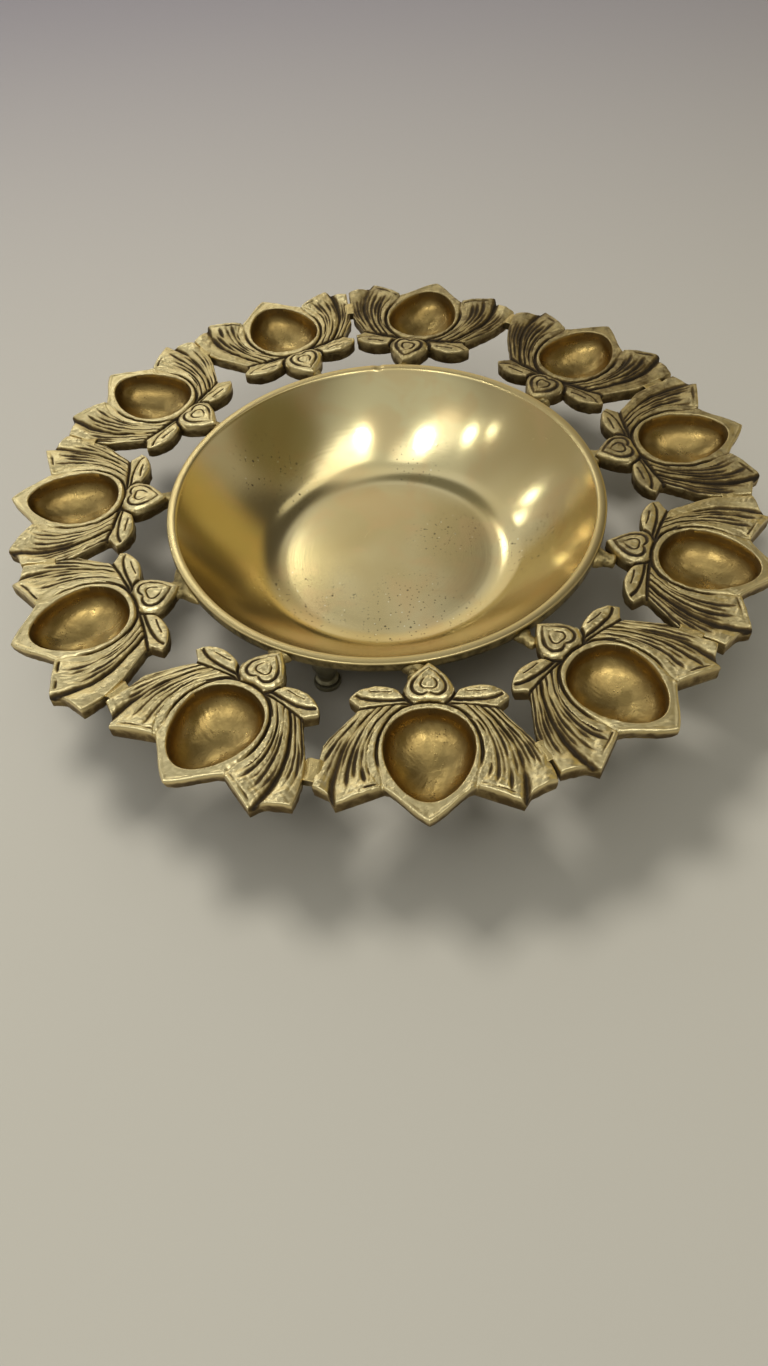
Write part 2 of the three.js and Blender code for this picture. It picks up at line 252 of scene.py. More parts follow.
def smooth_path(points, divisions=5):
    """A smooth line through the given points."""
    points = np.array(points, float)
    padded = np.vstack([2 * points[0] - points[1], points, 2 * points[-1] - points[-2]])
    line = [points[0]]
    for a, b, c, d in zip(padded, padded[1:], padded[2:], padded[3:]):
        for i in range(1, divisions + 1):
            t = i / divisions
            line.append(0.5 * (2 * b + (c - a) * t + (2 * a - 5 * b + 4 * c - d) * t ** 2
                               + (3 * b - a - 3 * c + d) * t ** 3))
    return np.array(line)


def distance_to(path, x, y):
    """Distance from each point to a line of straight pieces."""
    nearest = np.full(x.shape, np.inf)
    for (ax, ay), (bx, by) in zip(path[:-1], path[1:]):
        dx, dy = bx - ax, by - ay
        t = np.clip(((x - ax) * dx + (y - ay) * dy) / (dx * dx + dy * dy), 0, 1)
        nearest = np.minimum(nearest, (x - ax - t * dx) ** 2 + (y - ay - t * dy) ** 2)
    return np.sqrt(nearest)


def smooth(value, low, high):
    """0 below low, 1 above high, smooth between."""
    t = np.clip((value - low) / (high - low), 0, 1)
    return t * t * (3 - 2 * t)


def shoulder(value):
    """0 at 0, 1 from 1 up, with the round shoulder of a quarter circle between."""
    t = 1 - np.clip(value, 0, 1)
    return np.sqrt(1 - t * t)


def groove(gap, half):
    """Depth of a carved line, 1 at its middle and 0 from half its width out."""
    return np.clip(1 - gap / half, 0, 1) ** 1.6


def lumps(points, seed, size, waves=14):
    """Gentle unevenness of about -1 to 1 over an array of points, with features of about the given size."""
    rng = np.random.default_rng(seed)
    total = np.zeros(points.shape[:-1])
    for _ in range(waves):
        direction = rng.normal(size=3)
        direction /= np.linalg.norm(direction)
        pitch = size * rng.uniform(0.6, 1.8)
        total += np.sin(points @ direction * (2 * math.pi / pitch) + rng.uniform(0, 2 * math.pi))
    return total / math.sqrt(waves)


# ------------------------------------------------------------------ meshes and objects


def skin(name, rings, first, last, fields):
    """A closed mesh over rings of equal length, with an end point at each end. Millimetres in, metres out.

    fields maps an attribute's name to (values on the rings, value at the first point, at the last point).
    """
    count, around = rings.shape[:2]
    corners = np.vstack([rings.reshape(-1, 3), [first], [last]]) * MM
    index = np.arange(count * around).reshape(count, around)
    after = np.roll(index, -1, axis=1)
    quads = np.stack([index[:-1], after[:-1], after[1:], index[1:]], axis=-1).reshape(-1, 4)
    start = np.stack([np.full(around, count * around), after[0], index[0]], axis=-1)
    end = np.stack([np.full(around, count * around + 1), index[-1], after[-1]], axis=-1)
    loops = np.concatenate([quads.ravel(), start.ravel(), end.ravel()]).astype(np.int32)
    sizes = np.concatenate([np.full(len(quads), 4), np.full(len(start) + len(end), 3)])
    mesh = bpy.data.meshes.new(name)
    mesh.vertices.add(len(corners))
    mesh.vertices.foreach_set("co", corners.ravel().astype(np.float32))
    mesh.loops.add(len(loops))
    mesh.loops.foreach_set("vertex_index", loops)
    mesh.polygons.add(len(sizes))
    mesh.polygons.foreach_set("loop_start", np.concatenate([[0], np.cumsum(sizes)[:-1]]).astype(np.int32))
    mesh.update(calc_edges=True)
    mesh.validate()
    for key, (values, at_first, at_last) in fields.items():
        layer = mesh.attributes.new(key, "FLOAT", "POINT")
        flat = np.concatenate([np.broadcast_to(values, (count, around)).ravel(), [at_first, at_last]])
        layer.data.foreach_set("value", flat.astype(np.float32))
    mesh.shade_smooth()
    return mesh


def place(name, mesh, node, material):
    """Puts a finished mesh in the scene in place of its CAD node."""
    piece = bpy.data.objects.new(name, mesh)
    bpy.context.scene.collection.objects.link(piece)
    mesh.materials.append(material)
    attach(piece, "root")
    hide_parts(node)
    return piece


def circle(around):
    """Angles round a full turn."""
    return np.arange(around) * (2 * math.pi / around)


def turned(profile, around, centre=(0.0, 0.0)):
    """Rings made by turning (radius, height) pairs about an upright axis."""
    angle = circle(around)
    radius, height = np.array(profile).T
    return np.stack([
        centre[0] + radius[:, None] * np.cos(angle),
        centre[1] + radius[:, None] * np.sin(angle),
        np.broadcast_to(height[:, None], (len(radius), around)),
    ], axis=-1)


def spin(points, degrees):
    """Points turned about Z."""
    turn = math.radians(degrees)
    x, y = points[..., 0], points[..., 1]
    return np.stack([
        x * math.cos(turn) - y * math.sin(turn),
        x * math.sin(turn) + y * math.cos(turn),
        *(points[..., i] for i in range(2, points.shape[-1])),
    ], axis=-1)


# ------------------------------------------------------------------ shader building


def feed(tree, node, inputs):
    """Sets each of a node's named inputs to a value, or links it to a socket."""
    for key, value in inputs.items():
        if isinstance(value, bpy.types.NodeSocket):
            tree.links.new(value, node.inputs[key])
        else:
            node.inputs[key].default_value = value


def add_node(tree, kind, inputs, **values):
    """A node with its settings and its fed inputs."""
    node = tree.nodes.new(kind)
    for key, value in values.items():
        setattr(node, key, value)
    feed(tree, node, inputs)
    return node


def math_node(tree, operation, *values):
    """A math node's result, limited to 0 to 1 where the operation is named with a star."""
    return add_node(tree, "ShaderNodeMath", dict(enumerate(values)),
                    operation=operation.rstrip("*"), use_clamp=operation.endswith("*")).outputs[0]


def vector_node(tree, operation, *values):
    """A vector math node."""
    return add_node(tree, "ShaderNodeVectorMath", dict(enumerate(values)), operation=operation)


def times(tree, first, second):
    """The product of two values."""
    return math_node(tree, "MULTIPLY", first, second)


def mix_color(tree, factor, first, second):
    """A colour between two others."""
    return add_node(tree, "ShaderNodeMix", {0: factor, 6: first, 7: second}, data_type="RGBA").outputs[2]


def mix_value(tree, factor, first, second):
    """A value between two others."""
    return add_node(tree, "ShaderNodeMix", {0: factor, 2: first, 3: second}).outputs[0]


def remap(tree, value, low, high, to_low=0.0, to_high=1.0):
    """A value moved smoothly from one range to another."""
    return add_node(tree, "ShaderNodeMapRange", {
        "Value": value, "From Min": low, "From Max": high, "To Min": to_low, "To Max": to_high,
    }, interpolation_type="SMOOTHSTEP").outputs["Result"]


def noise(tree, vector, scale, detail=4.0, roughness=0.55, distortion=0.0):
    """Noise at a scale in features per metre."""
    return add_node(tree, "ShaderNodeTexNoise", {
        "Vector": vector, "Scale": scale, "Detail": detail, "Roughness": roughness, "Distortion": distortion,
    }).outputs["Fac"]


def new_group(name, inputs, outputs):
    """An empty node group with the named inputs and outputs, each (name, socket kind, default)."""
    tree = bpy.data.node_groups.new(name, "ShaderNodeTree")
    for key, kind, default in inputs:
        socket = tree.interface.new_socket(key, in_out="INPUT", socket_type=kind)
        if default is not None:
            socket.default_value = default
    for key, kind in outputs:
        tree.interface.new_socket(key, in_out="OUTPUT", socket_type=kind)
    return tree, tree.nodes.new("NodeGroupInput"), tree.nodes.new("NodeGroupOutput")


FLOAT, COLOR, VECTOR = "NodeSocketFloat", "NodeSocketColor", "NodeSocketVector"


def cast_grain_group():
    """Sand-cast skin: rounded grain, scattered pits and uneven tone."""
    tree, enter, leave = new_group(
        "Cast Grain",
        (("Vector", VECTOR, None), ("Grain Scale", FLOAT, 900.0), ("Pit Amount", FLOAT, 0.5)),
        (("Height", FLOAT), ("Pits", FLOAT), ("Tone", FLOAT)),
    )
    vector = enter.outputs["Vector"]
    scale = enter.outputs["Grain Scale"]
    grain = noise(tree, vector, scale, 5.0, 0.6)
    broad = noise(tree, vector, times(tree, scale, 0.17), 3.0, 0.6, 0.4)
    cells = add_node(tree, "ShaderNodeTexVoronoi", {
        "Vector": vector, "Scale": times(tree, scale, 0.75), "Randomness": 1.0,
    })
    dot = remap(tree, cells.outputs["Distance"], 0.30, 0.12)
    some = remap(tree, noise(tree, vector, times(tree, scale, 0.12), 2.0), 0.48, 0.62)
    pits = times(tree, times(tree, dot, some), enter.outputs["Pit Amount"])
    height = math_node(tree, "SUBTRACT", math_node(tree, "ADD", grain, times(tree, broad, 1.6)),
                       times(tree, pits, 1.5))
    feed(tree, leave, {"Height": height, "Pits": pits, "Tone": broad})
    return tree


def patina_group():
    """Antique finish: near black in the grooves, brown on their flanks, aged between, bright on high places."""
    tree, enter, leave = new_group(
        "Antique Patina",
        (("Cavity", FLOAT, 0.0), ("Rub and Light", FLOAT, 0.5), ("Tone", FLOAT, 0.5), ("Pits", FLOAT, 0.0),
         ("Bright", COLOR, (0.8, 0.7, 0.4, 1)), ("Middle", COLOR, (0.5, 0.4, 0.2, 1)),
         ("Brown", COLOR, (0.2, 0.12, 0.04, 1)), ("Dark", COLOR, (0.03, 0.02, 0.01, 1)),
         ("Spread", FLOAT, 0.35)),
        (("Color", COLOR), ("Roughness", FLOAT), ("Metallic", FLOAT)),
    )
    get = enter.outputs
    uneven = times(tree, math_node(tree, "SUBTRACT", get["Tone"], 0.5), get["Spread"])
    rub_and_light = math_node(tree, "ADD*", get["Rub and Light"], times(tree, uneven, 2.0))
    skin_color = mix_color(tree, rub_and_light, get["Middle"], get["Bright"])
    depth = math_node(tree, "ADD", get["Cavity"], uneven)
    # Cavity and Rub also carry painted shade on the lamps' side walls and painted light per lamp, so the brown
    # and the near black here are partly painted shade; in the grooves they are patina.
    stain_and_shade = math_node(tree, "MAXIMUM", remap(tree, depth, 0.10, 0.52), times(tree, get["Pits"], 0.7))
    patina_dark_and_shade = remap(tree, depth, 0.40, 0.88)
    color = mix_color(tree, patina_dark_and_shade, mix_color(tree, stain_and_shade, skin_color, get["Brown"]), get["Dark"])
    rough = math_node(tree, "ADD*", remap(tree, rub_and_light, 0.0, 1.0, 0.48, 0.33), times(tree, stain_and_shade, 0.16))
    feed(tree, leave, {
        "Color": color, "Roughness": math_node(tree, "ADD*", rough, times(tree, patina_dark_and_shade, 0.2)),
        "Metallic": remap(tree, patina_dark_and_shade, 0.1, 1.0, 1.0, 0.5),
    })
    return tree


def turning_group():
    """Marks left by turning on a lathe: fine rings about an upright axis."""
    tree, enter, leave = new_group(
        "Turning Marks",
        (("Vector", VECTOR, None), ("Axis", VECTOR, (0.0, 0.0, 0.0)), ("Ring Scale", FLOAT, 900.0)),
        (("Height", FLOAT),),
    )
    from_axis = vector_node(tree, "SUBTRACT", enter.outputs["Vector"], enter.outputs["Axis"]).outputs[0]
    parts = add_node(tree, "ShaderNodeSeparateXYZ", {0: from_axis})
    flat = add_node(tree, "ShaderNodeCombineXYZ", {0: parts.outputs[0], 1: parts.outputs[1]})
    radius = vector_node(tree, "LENGTH", flat.outputs[0]).outputs["Value"]
    depth = math_node(tree, "ADD", radius, times(tree, parts.outputs[2], -0.6))
    line = add_node(tree, "ShaderNodeCombineXYZ", {0: depth})
    small = vector_node(tree, "MULTIPLY", from_axis, (0.02, 0.02, 0.02))
    spot = vector_node(tree, "ADD", line.outputs[0], small.outputs[0])
    rings = noise(tree, spot.outputs[0], enter.outputs["Ring Scale"], 3.0, 0.7)
    feed(tree, leave, {"Height": rings})
    return tree


def specks_group():
    """Small dark specks, pale nicks and fine scratches from use."""
    tree, enter, leave = new_group(
        "Specks and Scratches",
        (("Vector", VECTOR, None), ("Speck Scale", FLOAT, 160.0), ("Scratch Scale", FLOAT, 60.0)),
        (("Specks", FLOAT), ("Nicks", FLOAT), ("Scratches", FLOAT)),
    )
    vector = enter.outputs["Vector"]

    def dots(scale, size, share):
        cells = add_node(tree, "ShaderNodeTexVoronoi", {"Vector": vector, "Scale": scale, "Randomness": 1.0},
                         voronoi_dimensions="2D")
        chance = add_node(tree, "ShaderNodeSeparateColor", {0: cells.outputs["Color"]}).outputs[0]
        near = remap(tree, cells.outputs["Distance"], size, size * 0.45)
        return times(tree, near, math_node(tree, "GREATER_THAN", chance, 1 - share))

    specks = dots(enter.outputs["Speck Scale"], 0.055, 0.5)
    for finer, size, share in ((2.3, 0.08, 0.5), (4.7, 0.13, 0.3)):
        small = dots(times(tree, enter.outputs["Speck Scale"], finer), size, share)
        specks = math_node(tree, "MAXIMUM", specks, small)
    nicks = dots(times(tree, enter.outputs["Speck Scale"], 1.7), 0.06, 0.35)
    total = None
    for turn, stretch in ((0.5, 0.035), (1.7, 0.03), (2.6, 0.04)):
        spun = add_node(tree, "ShaderNodeVectorRotate", {"Vector": vector, "Angle": turn},
                        rotation_type="Z_AXIS").outputs[0]
        long = vector_node(tree, "MULTIPLY", spun, (1.0, stretch, 1.0))
        line = noise(tree, long.outputs[0], times(tree, enter.outputs["Scratch Scale"], 14.0),
                     1.0, 0.5, 0.3)
        thin = remap(tree, line, 0.78, 0.80)
        total = thin if total is None else math_node(tree, "MAXIMUM", total, thin)
    feed(tree, leave, {"Specks": specks, "Nicks": nicks, "Scratches": total})
    return tree


def group_in(tree, name, maker, inputs):
    """The outputs of a node group placed in a material. It is built once and shared by several materials."""
    group = bpy.data.node_groups.get(name) or maker()
    return add_node(tree, "ShaderNodeGroup", inputs, node_tree=group).outputs


def new_material(name):
    """A material with its output, its shader and object coordinates."""
    material = bpy.data.materials.new(name)
    material.use_nodes = True
    tree = material.node_tree
    shader = tree.nodes["Principled BSDF"]
    where = tree.nodes.new("ShaderNodeTexCoord").outputs["Object"]
    return material, tree, shader, where


def bump(tree, height, strength, distance):
    """A bump node's normal."""
    return add_node(tree, "ShaderNodeBump", {
        "Height": height, "Strength": strength, "Distance": distance,
    }).outputs["Normal"]


def attribute(tree, name):
    """A mesh attribute's value."""
    return add_node(tree, "ShaderNodeAttribute", {}, attribute_name=name).outputs["Fac"]


def toned(color, *shares):
    """A colour with full alpha, scaled as a whole or channel by channel."""
    shares = shares if len(shares) == 3 else (shares or (1.0,)) * 3
    return (*(min(1.0, channel * share) for channel, share in zip(color, shares)), 1.0)


# ------------------------------------------------------------------ materials


def lamp_material(settings):
    """Sand-cast brass with dark patina in the flutes and smoother golden brass in the cup."""
    material, tree, shader, where = new_material("Lotus antiqued brass")
    cavity = attribute(tree, "cavity")
    cup = attribute(tree, "cup")
    grain = group_in(tree, "Cast Grain", cast_grain_group,
                     {"Vector": where, "Grain Scale": 1000.0, "Pit Amount": 0.75})
    petals = group_in(tree, "Antique Patina", patina_group, {
        "Cavity": cavity, "Rub and Light": attribute(tree, "rub_and_light"), "Tone": grain["Tone"], "Pits": grain["Pits"],
        "Bright": toned(settings.bright), "Middle": toned(settings.middle), "Brown": toned(settings.brown),
        "Dark": toned(settings.patina), "Spread": 0.8,
    })
    blotch = noise(tree, where, 95.0, 4.0, 0.6, 0.5)
    golden = mix_color(tree, remap(tree, blotch, 0.35, 0.68), toned(settings.cup, 0.62), toned(settings.cup))
    # Painted shade: the cup's colour darkens towards its steep walls.
    cup_with_painted_shade = mix_color(tree, times(tree, cavity, 0.6), golden, toned(settings.cup, 0.36, 0.30, 0.22))
    pitted = mix_color(tree, times(tree, grain["Pits"], 0.75), cup_with_painted_shade, toned(settings.cup, 0.16))
    polish = remap(tree, blotch, 0.3, 0.7, 0.36, 0.26)
    skin_depth = math_node(tree, "ADD", 0.25, times(tree, cup, 0.22))
    feed(tree, shader, {
        "Base Color": mix_color(tree, cup, petals["Color"], pitted),
        "Roughness": mix_value(tree, cup, petals["Roughness"], polish),
        "Metallic": mix_value(tree, cup, petals["Metallic"], 1.0),
        "Normal": bump(tree, grain["Height"], skin_depth, 0.00016),
    })
    return material


def bowl_material(settings):
    """Satin turned brass with soft tarnish, specks and scratches."""
    material, tree, shader, where = new_material("Bowl satin brass")
    lathe = group_in(tree, "Turning Marks", turning_group,
                     {"Vector": where, "Axis": (AXIS_X * MM, AXIS_Y * MM, 0.0), "Ring Scale": 1500.0})
    wear = group_in(tree, "Specks and Scratches", specks_group,
                    {"Vector": where, "Speck Scale": 80.0, "Scratch Scale": 60.0})
    lip = attribute(tree, "lip")
    under = attribute(tree, "under")
    cloud = noise(tree, where, 16.0, 2.0, 0.45, 0.3)
    satin = mix_color(tree, remap(tree, cloud, 0.34, 0.68), toned(settings.tarnish), toned(settings.color))
    haze = noise(tree, where, 42.0, 3.0, 0.55, 0.5)
    hazy = mix_color(tree, remap(tree, haze, 0.45, 0.68, 0.0, 0.55), satin,
                     toned(settings.color, 0.98, 0.84, 0.74))
    lipped = mix_color(tree, times(tree, lip, 0.8), hazy, toned(settings.color, 0.84, 0.78, 0.66))
    blotch = noise(tree, where, 130.0, 5.0, 0.65, 0.4)
    old = mix_color(tree, remap(tree, blotch, 0.35, 0.62), toned(settings.tarnish, 0.22),
                    toned(settings.tarnish, 0.66))
    whole = mix_color(tree, under, lipped, old)
    worn_place = times(tree, math_node(tree, "SUBTRACT*", 1.0, under), attribute(tree, "pitted"))
    specks = times(tree, wear["Specks"], worn_place)
    specked = mix_color(tree, times(tree, specks, 0.85), whole, (0.05, 0.03, 0.012, 1))
    nicks = times(tree, wear["Nicks"], worn_place)
    polish = remap(tree, cloud, 0.3, 0.7, 0.20, 0.15)
    for mark, amount in ((under, 0.25), (lip, 0.12), (wear["Scratches"], 0.08)):
        polish = math_node(tree, "ADD*", polish, times(tree, mark, amount))
    dents = math_node(tree, "ADD", specks, times(tree, wear["Scratches"], 0.25))
    height = math_node(tree, "SUBTRACT", times(tree, lathe["Height"], 0.8), dents)
    tangent = add_node(tree, "ShaderNodeTangent", {}, direction_type="RADIAL", axis="Z")
    feed(tree, shader, {
        "Base Color": mix_color(tree, times(tree, nicks, 0.7), specked, (0.9, 0.82, 0.6, 1)),
        "Roughness": polish,
        "Metallic": 1.0,
        "Anisotropic": 0.25,
        "Anisotropic Rotation": 0.2,
        "Normal": bump(tree, height, 0.2, 0.00008),
        "Tangent": tangent.outputs["Tangent"],
    })
    return material


def plain_cast_material(name, color, grain_scale, depth):
    """Cast or brazed brass with no relief of its own: grain, pits, dull hollows and rubbed edges."""
    material, tree, shader, where = new_material(name)
    grain = group_in(tree, "Cast Grain", cast_grain_group,
                     {"Vector": where, "Grain Scale": grain_scale, "Pit Amount": 0.8})
    coat = group_in(tree, "Antique Patina", patina_group, {
        "Cavity": attribute(tree, "cavity"), "Rub and Light": attribute(tree, "rub_and_light"), "Tone": grain["Tone"],
        "Pits": grain["Pits"], "Bright": toned(color, 1.22), "Middle": toned(color, 0.75),
        "Brown": toned(color, 0.35), "Dark": (0.04, 0.026, 0.010, 1), "Spread": 0.8,
    })
    feed(tree, shader, {
        "Base Color": coat["Color"], "Roughness": coat["Roughness"], "Metallic": coat["Metallic"],
        "Normal": bump(tree, grain["Height"], 0.6, depth),
    })
    return material


# ------------------------------------------------------------------ bowl


LIP_CROWN = 0.16  # the lip's edges below its middle
FLOOR_DOME = 0.6  # the floor's middle above its edge
NICK_AZIMUTH = 88.5
NICK_WIDTH = 0.55  # in degrees
NICK_DEPTH = 0.9

# Where the inside has most specks: X and Y from the bowl's axis and the distance to the last of them.
PITTED_SPOTS = ((10, -45, 42), (-42, -28, 40), (70, -10, 30), (-55, 48, 26), (30, 10, 24), (20, 62, 20))


def bowl_curve(settings, offset, steps):
    """The bowl's inner curve from floor to lip as (radius, height) pairs, moved out along its normal."""
    floor_z = UNDERSIDE_Z + settings.wall / MM
    floor_radius = settings.floor_radius / MM
    bend = settings.bend_radius / MM
    angle = settings.bend_angle
    end = np.array([floor_radius + bend * math.sin(angle), floor_z + bend * (1 - math.cos(angle))])
    chord = np.array([RIM_RADIUS - settings.lip_width / MM, LIP_Z]) - end
    lip_angle = 2 * math.atan2(chord[1], chord[0]) - angle
    wall_radius = np.hypot(*chord) / (2 * math.sin((lip_angle - angle) / 2))
    curve = [(radius, floor_z - offset) for radius in np.linspace(2, floor_radius, steps)]
    for slope in np.linspace(0, angle, steps)[1:]:
        curve.append((floor_radius + (bend + offset) * math.sin(slope),
                      floor_z + bend - (bend + offset) * math.cos(slope)))
    centre = end + wall_radius * np.array([-math.sin(angle), math.cos(angle)])
    for slope in np.linspace(angle, lip_angle, 2 * steps)[1:]:
        curve.append((centre[0] + (wall_radius + offset) * math.sin(slope),
                      centre[1] - (wall_radius + offset) * math.cos(slope)))
    return curve


def rounded_corner(corner, before, after, radius, steps=5):
    """Points round a square corner between two directions."""
    corner, before, after = (np.array(value, float) for value in (corner, before, after))
    middle = corner + radius * (before + after)
    return [tuple(middle - radius * (after * math.cos(t) + before * math.sin(t)))
            for t in np.linspace(0, math.pi / 2, steps)]


def build_bowl(settings):
    """The turned bowl: satin inside, flat lip, upright band and underside, slightly out of true."""
    around = 384
    inside = bowl_curve(settings, 0.0, 14)
    band_foot = LIP_Z - settings.lip_height / MM
    edge = rounded_corner(inside[-1], (-0.78, -0.62), (1, 0), 0.5, 4)
    rim = rounded_corner((RIM_RADIUS, LIP_Z), (-1, 0), (0, -1), 0.7)
    band = [(RIM_RADIUS, z) for z in np.linspace(LIP_Z - 1.2, band_foot + 0.6, 5)]
    heel = rounded_corner((RIM_RADIUS, band_foot), (0, 1), (-1, 0), 0.6, 4)
    outside = [p for p in bowl_curve(settings, settings.wall / MM, 14) if p[1] < band_foot - 0.2][::-1]
    lip = [(r, LIP_Z) for r in np.linspace(edge[-1][0], rim[0][0], 5)[1:-1]]
    profile = inside[:-1] + edge + lip + rim + band + heel + outside
    rings = turned(profile, around, (AXIS_X, AXIS_Y))
    heights = rings[..., 2]
    radii = np.array(profile)[:, 0][:, None]
    rings[..., :2] += (lumps(rings, 11, 60.0) * 0.10 * smooth(radii, 55, 100))[..., None] * (
        rings[..., :2] - (AXIS_X, AXIS_Y)) / np.maximum(radii, 1)[..., None]
    heights += lumps(rings, 12, 70.0) * 0.08 * smooth(radii, 5, 60)
    order = np.arange(len(profile))[:, None]
    first_lip = len(inside) - 1
    last_lip = first_lip + len(edge) + len(lip) + len(rim) - 1
    on_lip = (order >= first_lip) & (order <= last_lip)
    angle = np.degrees(circle(around))
    nick = np.exp(-((angle - NICK_AZIMUTH) / NICK_WIDTH) ** 2)
    heights -= nick * NICK_DEPTH * on_lip
    under = smooth(order, last_lip - 2.5, last_lip + 0.5)
    heights += FLOOR_DOME * np.clip(1 - (radii / 50) ** 2, 0, 1) * (order < first_lip)
    half_lip = settings.lip_width / MM / 2
    heights -= LIP_CROWN * np.clip((radii - RIM_RADIUS + half_lip) / half_lip, -1, 1) ** 2 * on_lip
    floor_z = UNDERSIDE_Z + settings.wall / MM + FLOOR_DOME
    pitted = 0.0 * heights
    for x, y, spread in PITTED_SPOTS:
        away = np.hypot(rings[..., 0] - AXIS_X - x, rings[..., 1] - AXIS_Y - y)
        pitted = np.maximum(pitted, 1 - smooth(away, 0.3 * spread, spread))
    return skin("bowl_shell", rings, (AXIS_X, AXIS_Y, floor_z), (AXIS_X, AXIS_Y, UNDERSIDE_Z), {
        "lip": (on_lip * np.ones(around), 0, 0),
        "under": (np.maximum(under * np.ones(around), 0.9 * nick * on_lip), 0, 1),
        "pitted": (pitted, 0, 0),
    })


# ------------------------------------------------------------------ lotus lamps

CUP_LENGTH = 43.0
CUP_WIDTH = 35.0
CUP_OFFSET = 5.5
CUP_TAPER = 0.18
BUD_REACH = 39.5
BUD_GAP = 1.3
LAMP_AROUND = 880
CUP_RINGS = 18
PETAL_RINGS = 80
WALL_LEVELS = (0.25, 0.5, 0.75, 0.93)
BACK_SHARES = (0.93, 0.88, 0.83, 0.78, 0.66, 0.54, 0.44, 0.34, 0.24, 0.14, 0.06)
RING_RADIUS = RIM_RADIUS + BUD_REACH + BUD_GAP
RELIEF_LINES = {key: smooth_path(path) for key, path in {
    "cup": CUP_GROOVE, "base": WING_BASE, "sepal": SEPAL_LINE, "vein": SEPAL_VEIN, "bud side": BUD_SIDE,
    "bud": BUD_RING, "edge": WING_EDGE}.items()}


def cup_place(x, y, margin=0.0):
    """How far out each point lies from the cup's middle (0) to its rim (1), and its distance past the rim."""
    across = (x - CUP_OFFSET) / (CUP_LENGTH / 2 + margin)
    aside = y / (CUP_WIDTH / 2 + margin)
    out = np.hypot(across, aside)
    for _ in range(5):
        along = across / np.maximum(out, 1e-6)
        out = np.hypot(across, aside / (1 - CUP_TAPER * along))
    distance = np.hypot(x - CUP_OFFSET, y) * (1 - 1 / np.maximum(out, 1e-6))
    return out, distance


def polar_reach(path, angles):
    """Distance from the cup's middle to a line, along each angle from straight outward."""
    bearing = np.arctan2(path[:, 1], path[:, 0] - CUP_OFFSET)
    return np.interp(angles, bearing, np.hypot(path[:, 0] - CUP_OFFSET, path[:, 1]))


def wing_relief(x, y, cup_gap, seed, plain):
    """Fluted petals on one side: height, how deep in a flute and how rubbed each point is."""
    rng = np.random.default_rng(seed)
    inner = np.maximum(cup_gap - 2.2, 0.0)
    outer = distance_to(RELIEF_LINES["edge"], x, y)
    width = np.maximum(inner + outer, 1e-3)
    across = inner / width
    top = distance_to(np.array(WING_TOP), x, y)
    base = distance_to(RELIEF_LINES["base"], x, y)
    along = base / np.maximum(base + top, 1e-3)
    spots = np.stack([x, y, np.zeros_like(x)], axis=-1)
    cut = np.zeros_like(x)
    cavity = np.zeros_like(x)
    for k, (middle, depth, start, end) in enumerate(FLUTES):
        dividing = k == DIVIDING_FLUTE
        wave = rng.uniform(0, 2 * math.pi)
        centre = middle + rng.uniform(-0.012, 0.012) + 0.010 * np.sin(along * rng.uniform(5, 9) + wave)
        start += rng.uniform(-0.06, 0.10)
        end += rng.uniform(-0.10, 0.04)
        reach = smooth(along, start - 0.12, start + 0.12) * (1 - smooth(along, end - 0.14, end + 0.05))
        patchy = np.clip(0.92 + 0.5 * lumps(spots, seed * 20 + k, 14.0, 6), 0.08, 1.35)
        strength = depth * rng.uniform(0.8, 1.2) * reach * patchy
        if k > DIVIDING_FLUTE:
            strength = strength * (1 - plain)
        strength = np.clip(strength, 0, 1.9)
        half = np.clip(0.042 * width, 0.55, 1.25) * (0.5 + 0.35 * reach + 0.3 * patchy)
        half = half * (1.5 if dividing else 1.0)
        gap = np.abs(across - centre) * width
        cut = np.maximum(cut, strength * groove(gap, half))
        cavity = np.maximum(cavity, np.clip(strength, 0, 1) * groove(gap, half * 1.1) ** 0.9)
    hem = np.abs(top - 2.1)
    reach = smooth(y, 18.5, 20.5) * (1 - smooth(y, 31, 35)) * (along > 0.5) * rng.uniform(0.45, 1.0)
    reach = reach * np.clip(0.6 + 0.7 * lumps(spots, seed * 20 + 15, 9.0, 6), 0, 1)
    cut = np.maximum(cut, 0.9 * reach * groove(hem, 1.1))
    cavity = np.maximum(cavity, reach * groove(hem, 1.2))
    second = smooth(across, 0.61, 0.66)
    swell = np.sin(np.clip(across / 0.635, 0, 1) * math.pi) * (1 - second)
    swell = swell + np.sin(np.clip((across - 0.635) / 0.365, 0, 1) * math.pi) * second
    flare = smooth(along, 0.70, 1.0)
    height = 0.45 + 1.2 * flare * (0.4 + 0.6 * swell) + 0.6 * swell - 0.6 * second - cut
    return height, cavity, np.clip(0.15 + 0.45 * flare + 0.45 * swell - cut * 0.35, 0, 1)


def bud_relief(x, y):
    """The bud's dome with its two carved lines: place from the middle out, depth and darkness."""
    ring = RELIEF_LINES["bud"]
    bearing = np.arctan2(np.abs(y), -(x - BUD_MIDDLE))
    ring_bearing = np.arctan2(ring[:, 1], -(ring[:, 0] - BUD_MIDDLE))
    order = np.argsort(ring_bearing)
    reach = np.interp(bearing, ring_bearing[order], np.hypot(ring[:, 0] - BUD_MIDDLE, ring[:, 1])[order])
    out = np.hypot(x - BUD_MIDDLE, y) / reach
    from_top = math.pi - bearing
    heart = 0.70 - 0.15 * np.exp(-(from_top / 0.36) ** 2)
    gap = np.abs(out - heart) * reach
    outer_reach = (1 - 0.55 * np.exp(-(from_top / 0.16) ** 2)) * (1 - 0.5 * smooth(from_top, 1.9, 2.6))
    inner_gap = np.abs(out - 0.34 + 0.04 * np.cos(from_top)) * reach
    inner_reach = 1 - 0.8 * smooth(from_top, 2.2, 2.9)
    cut = np.maximum(1.1 * outer_reach * groove(gap, 1.15), 0.8 * inner_reach * groove(inner_gap, 0.8))
    cavity = np.maximum(outer_reach * groove(gap, 1.25) ** 0.8, 0.9 * inner_reach * groove(inner_gap, 0.85))
    return out, cut, cavity


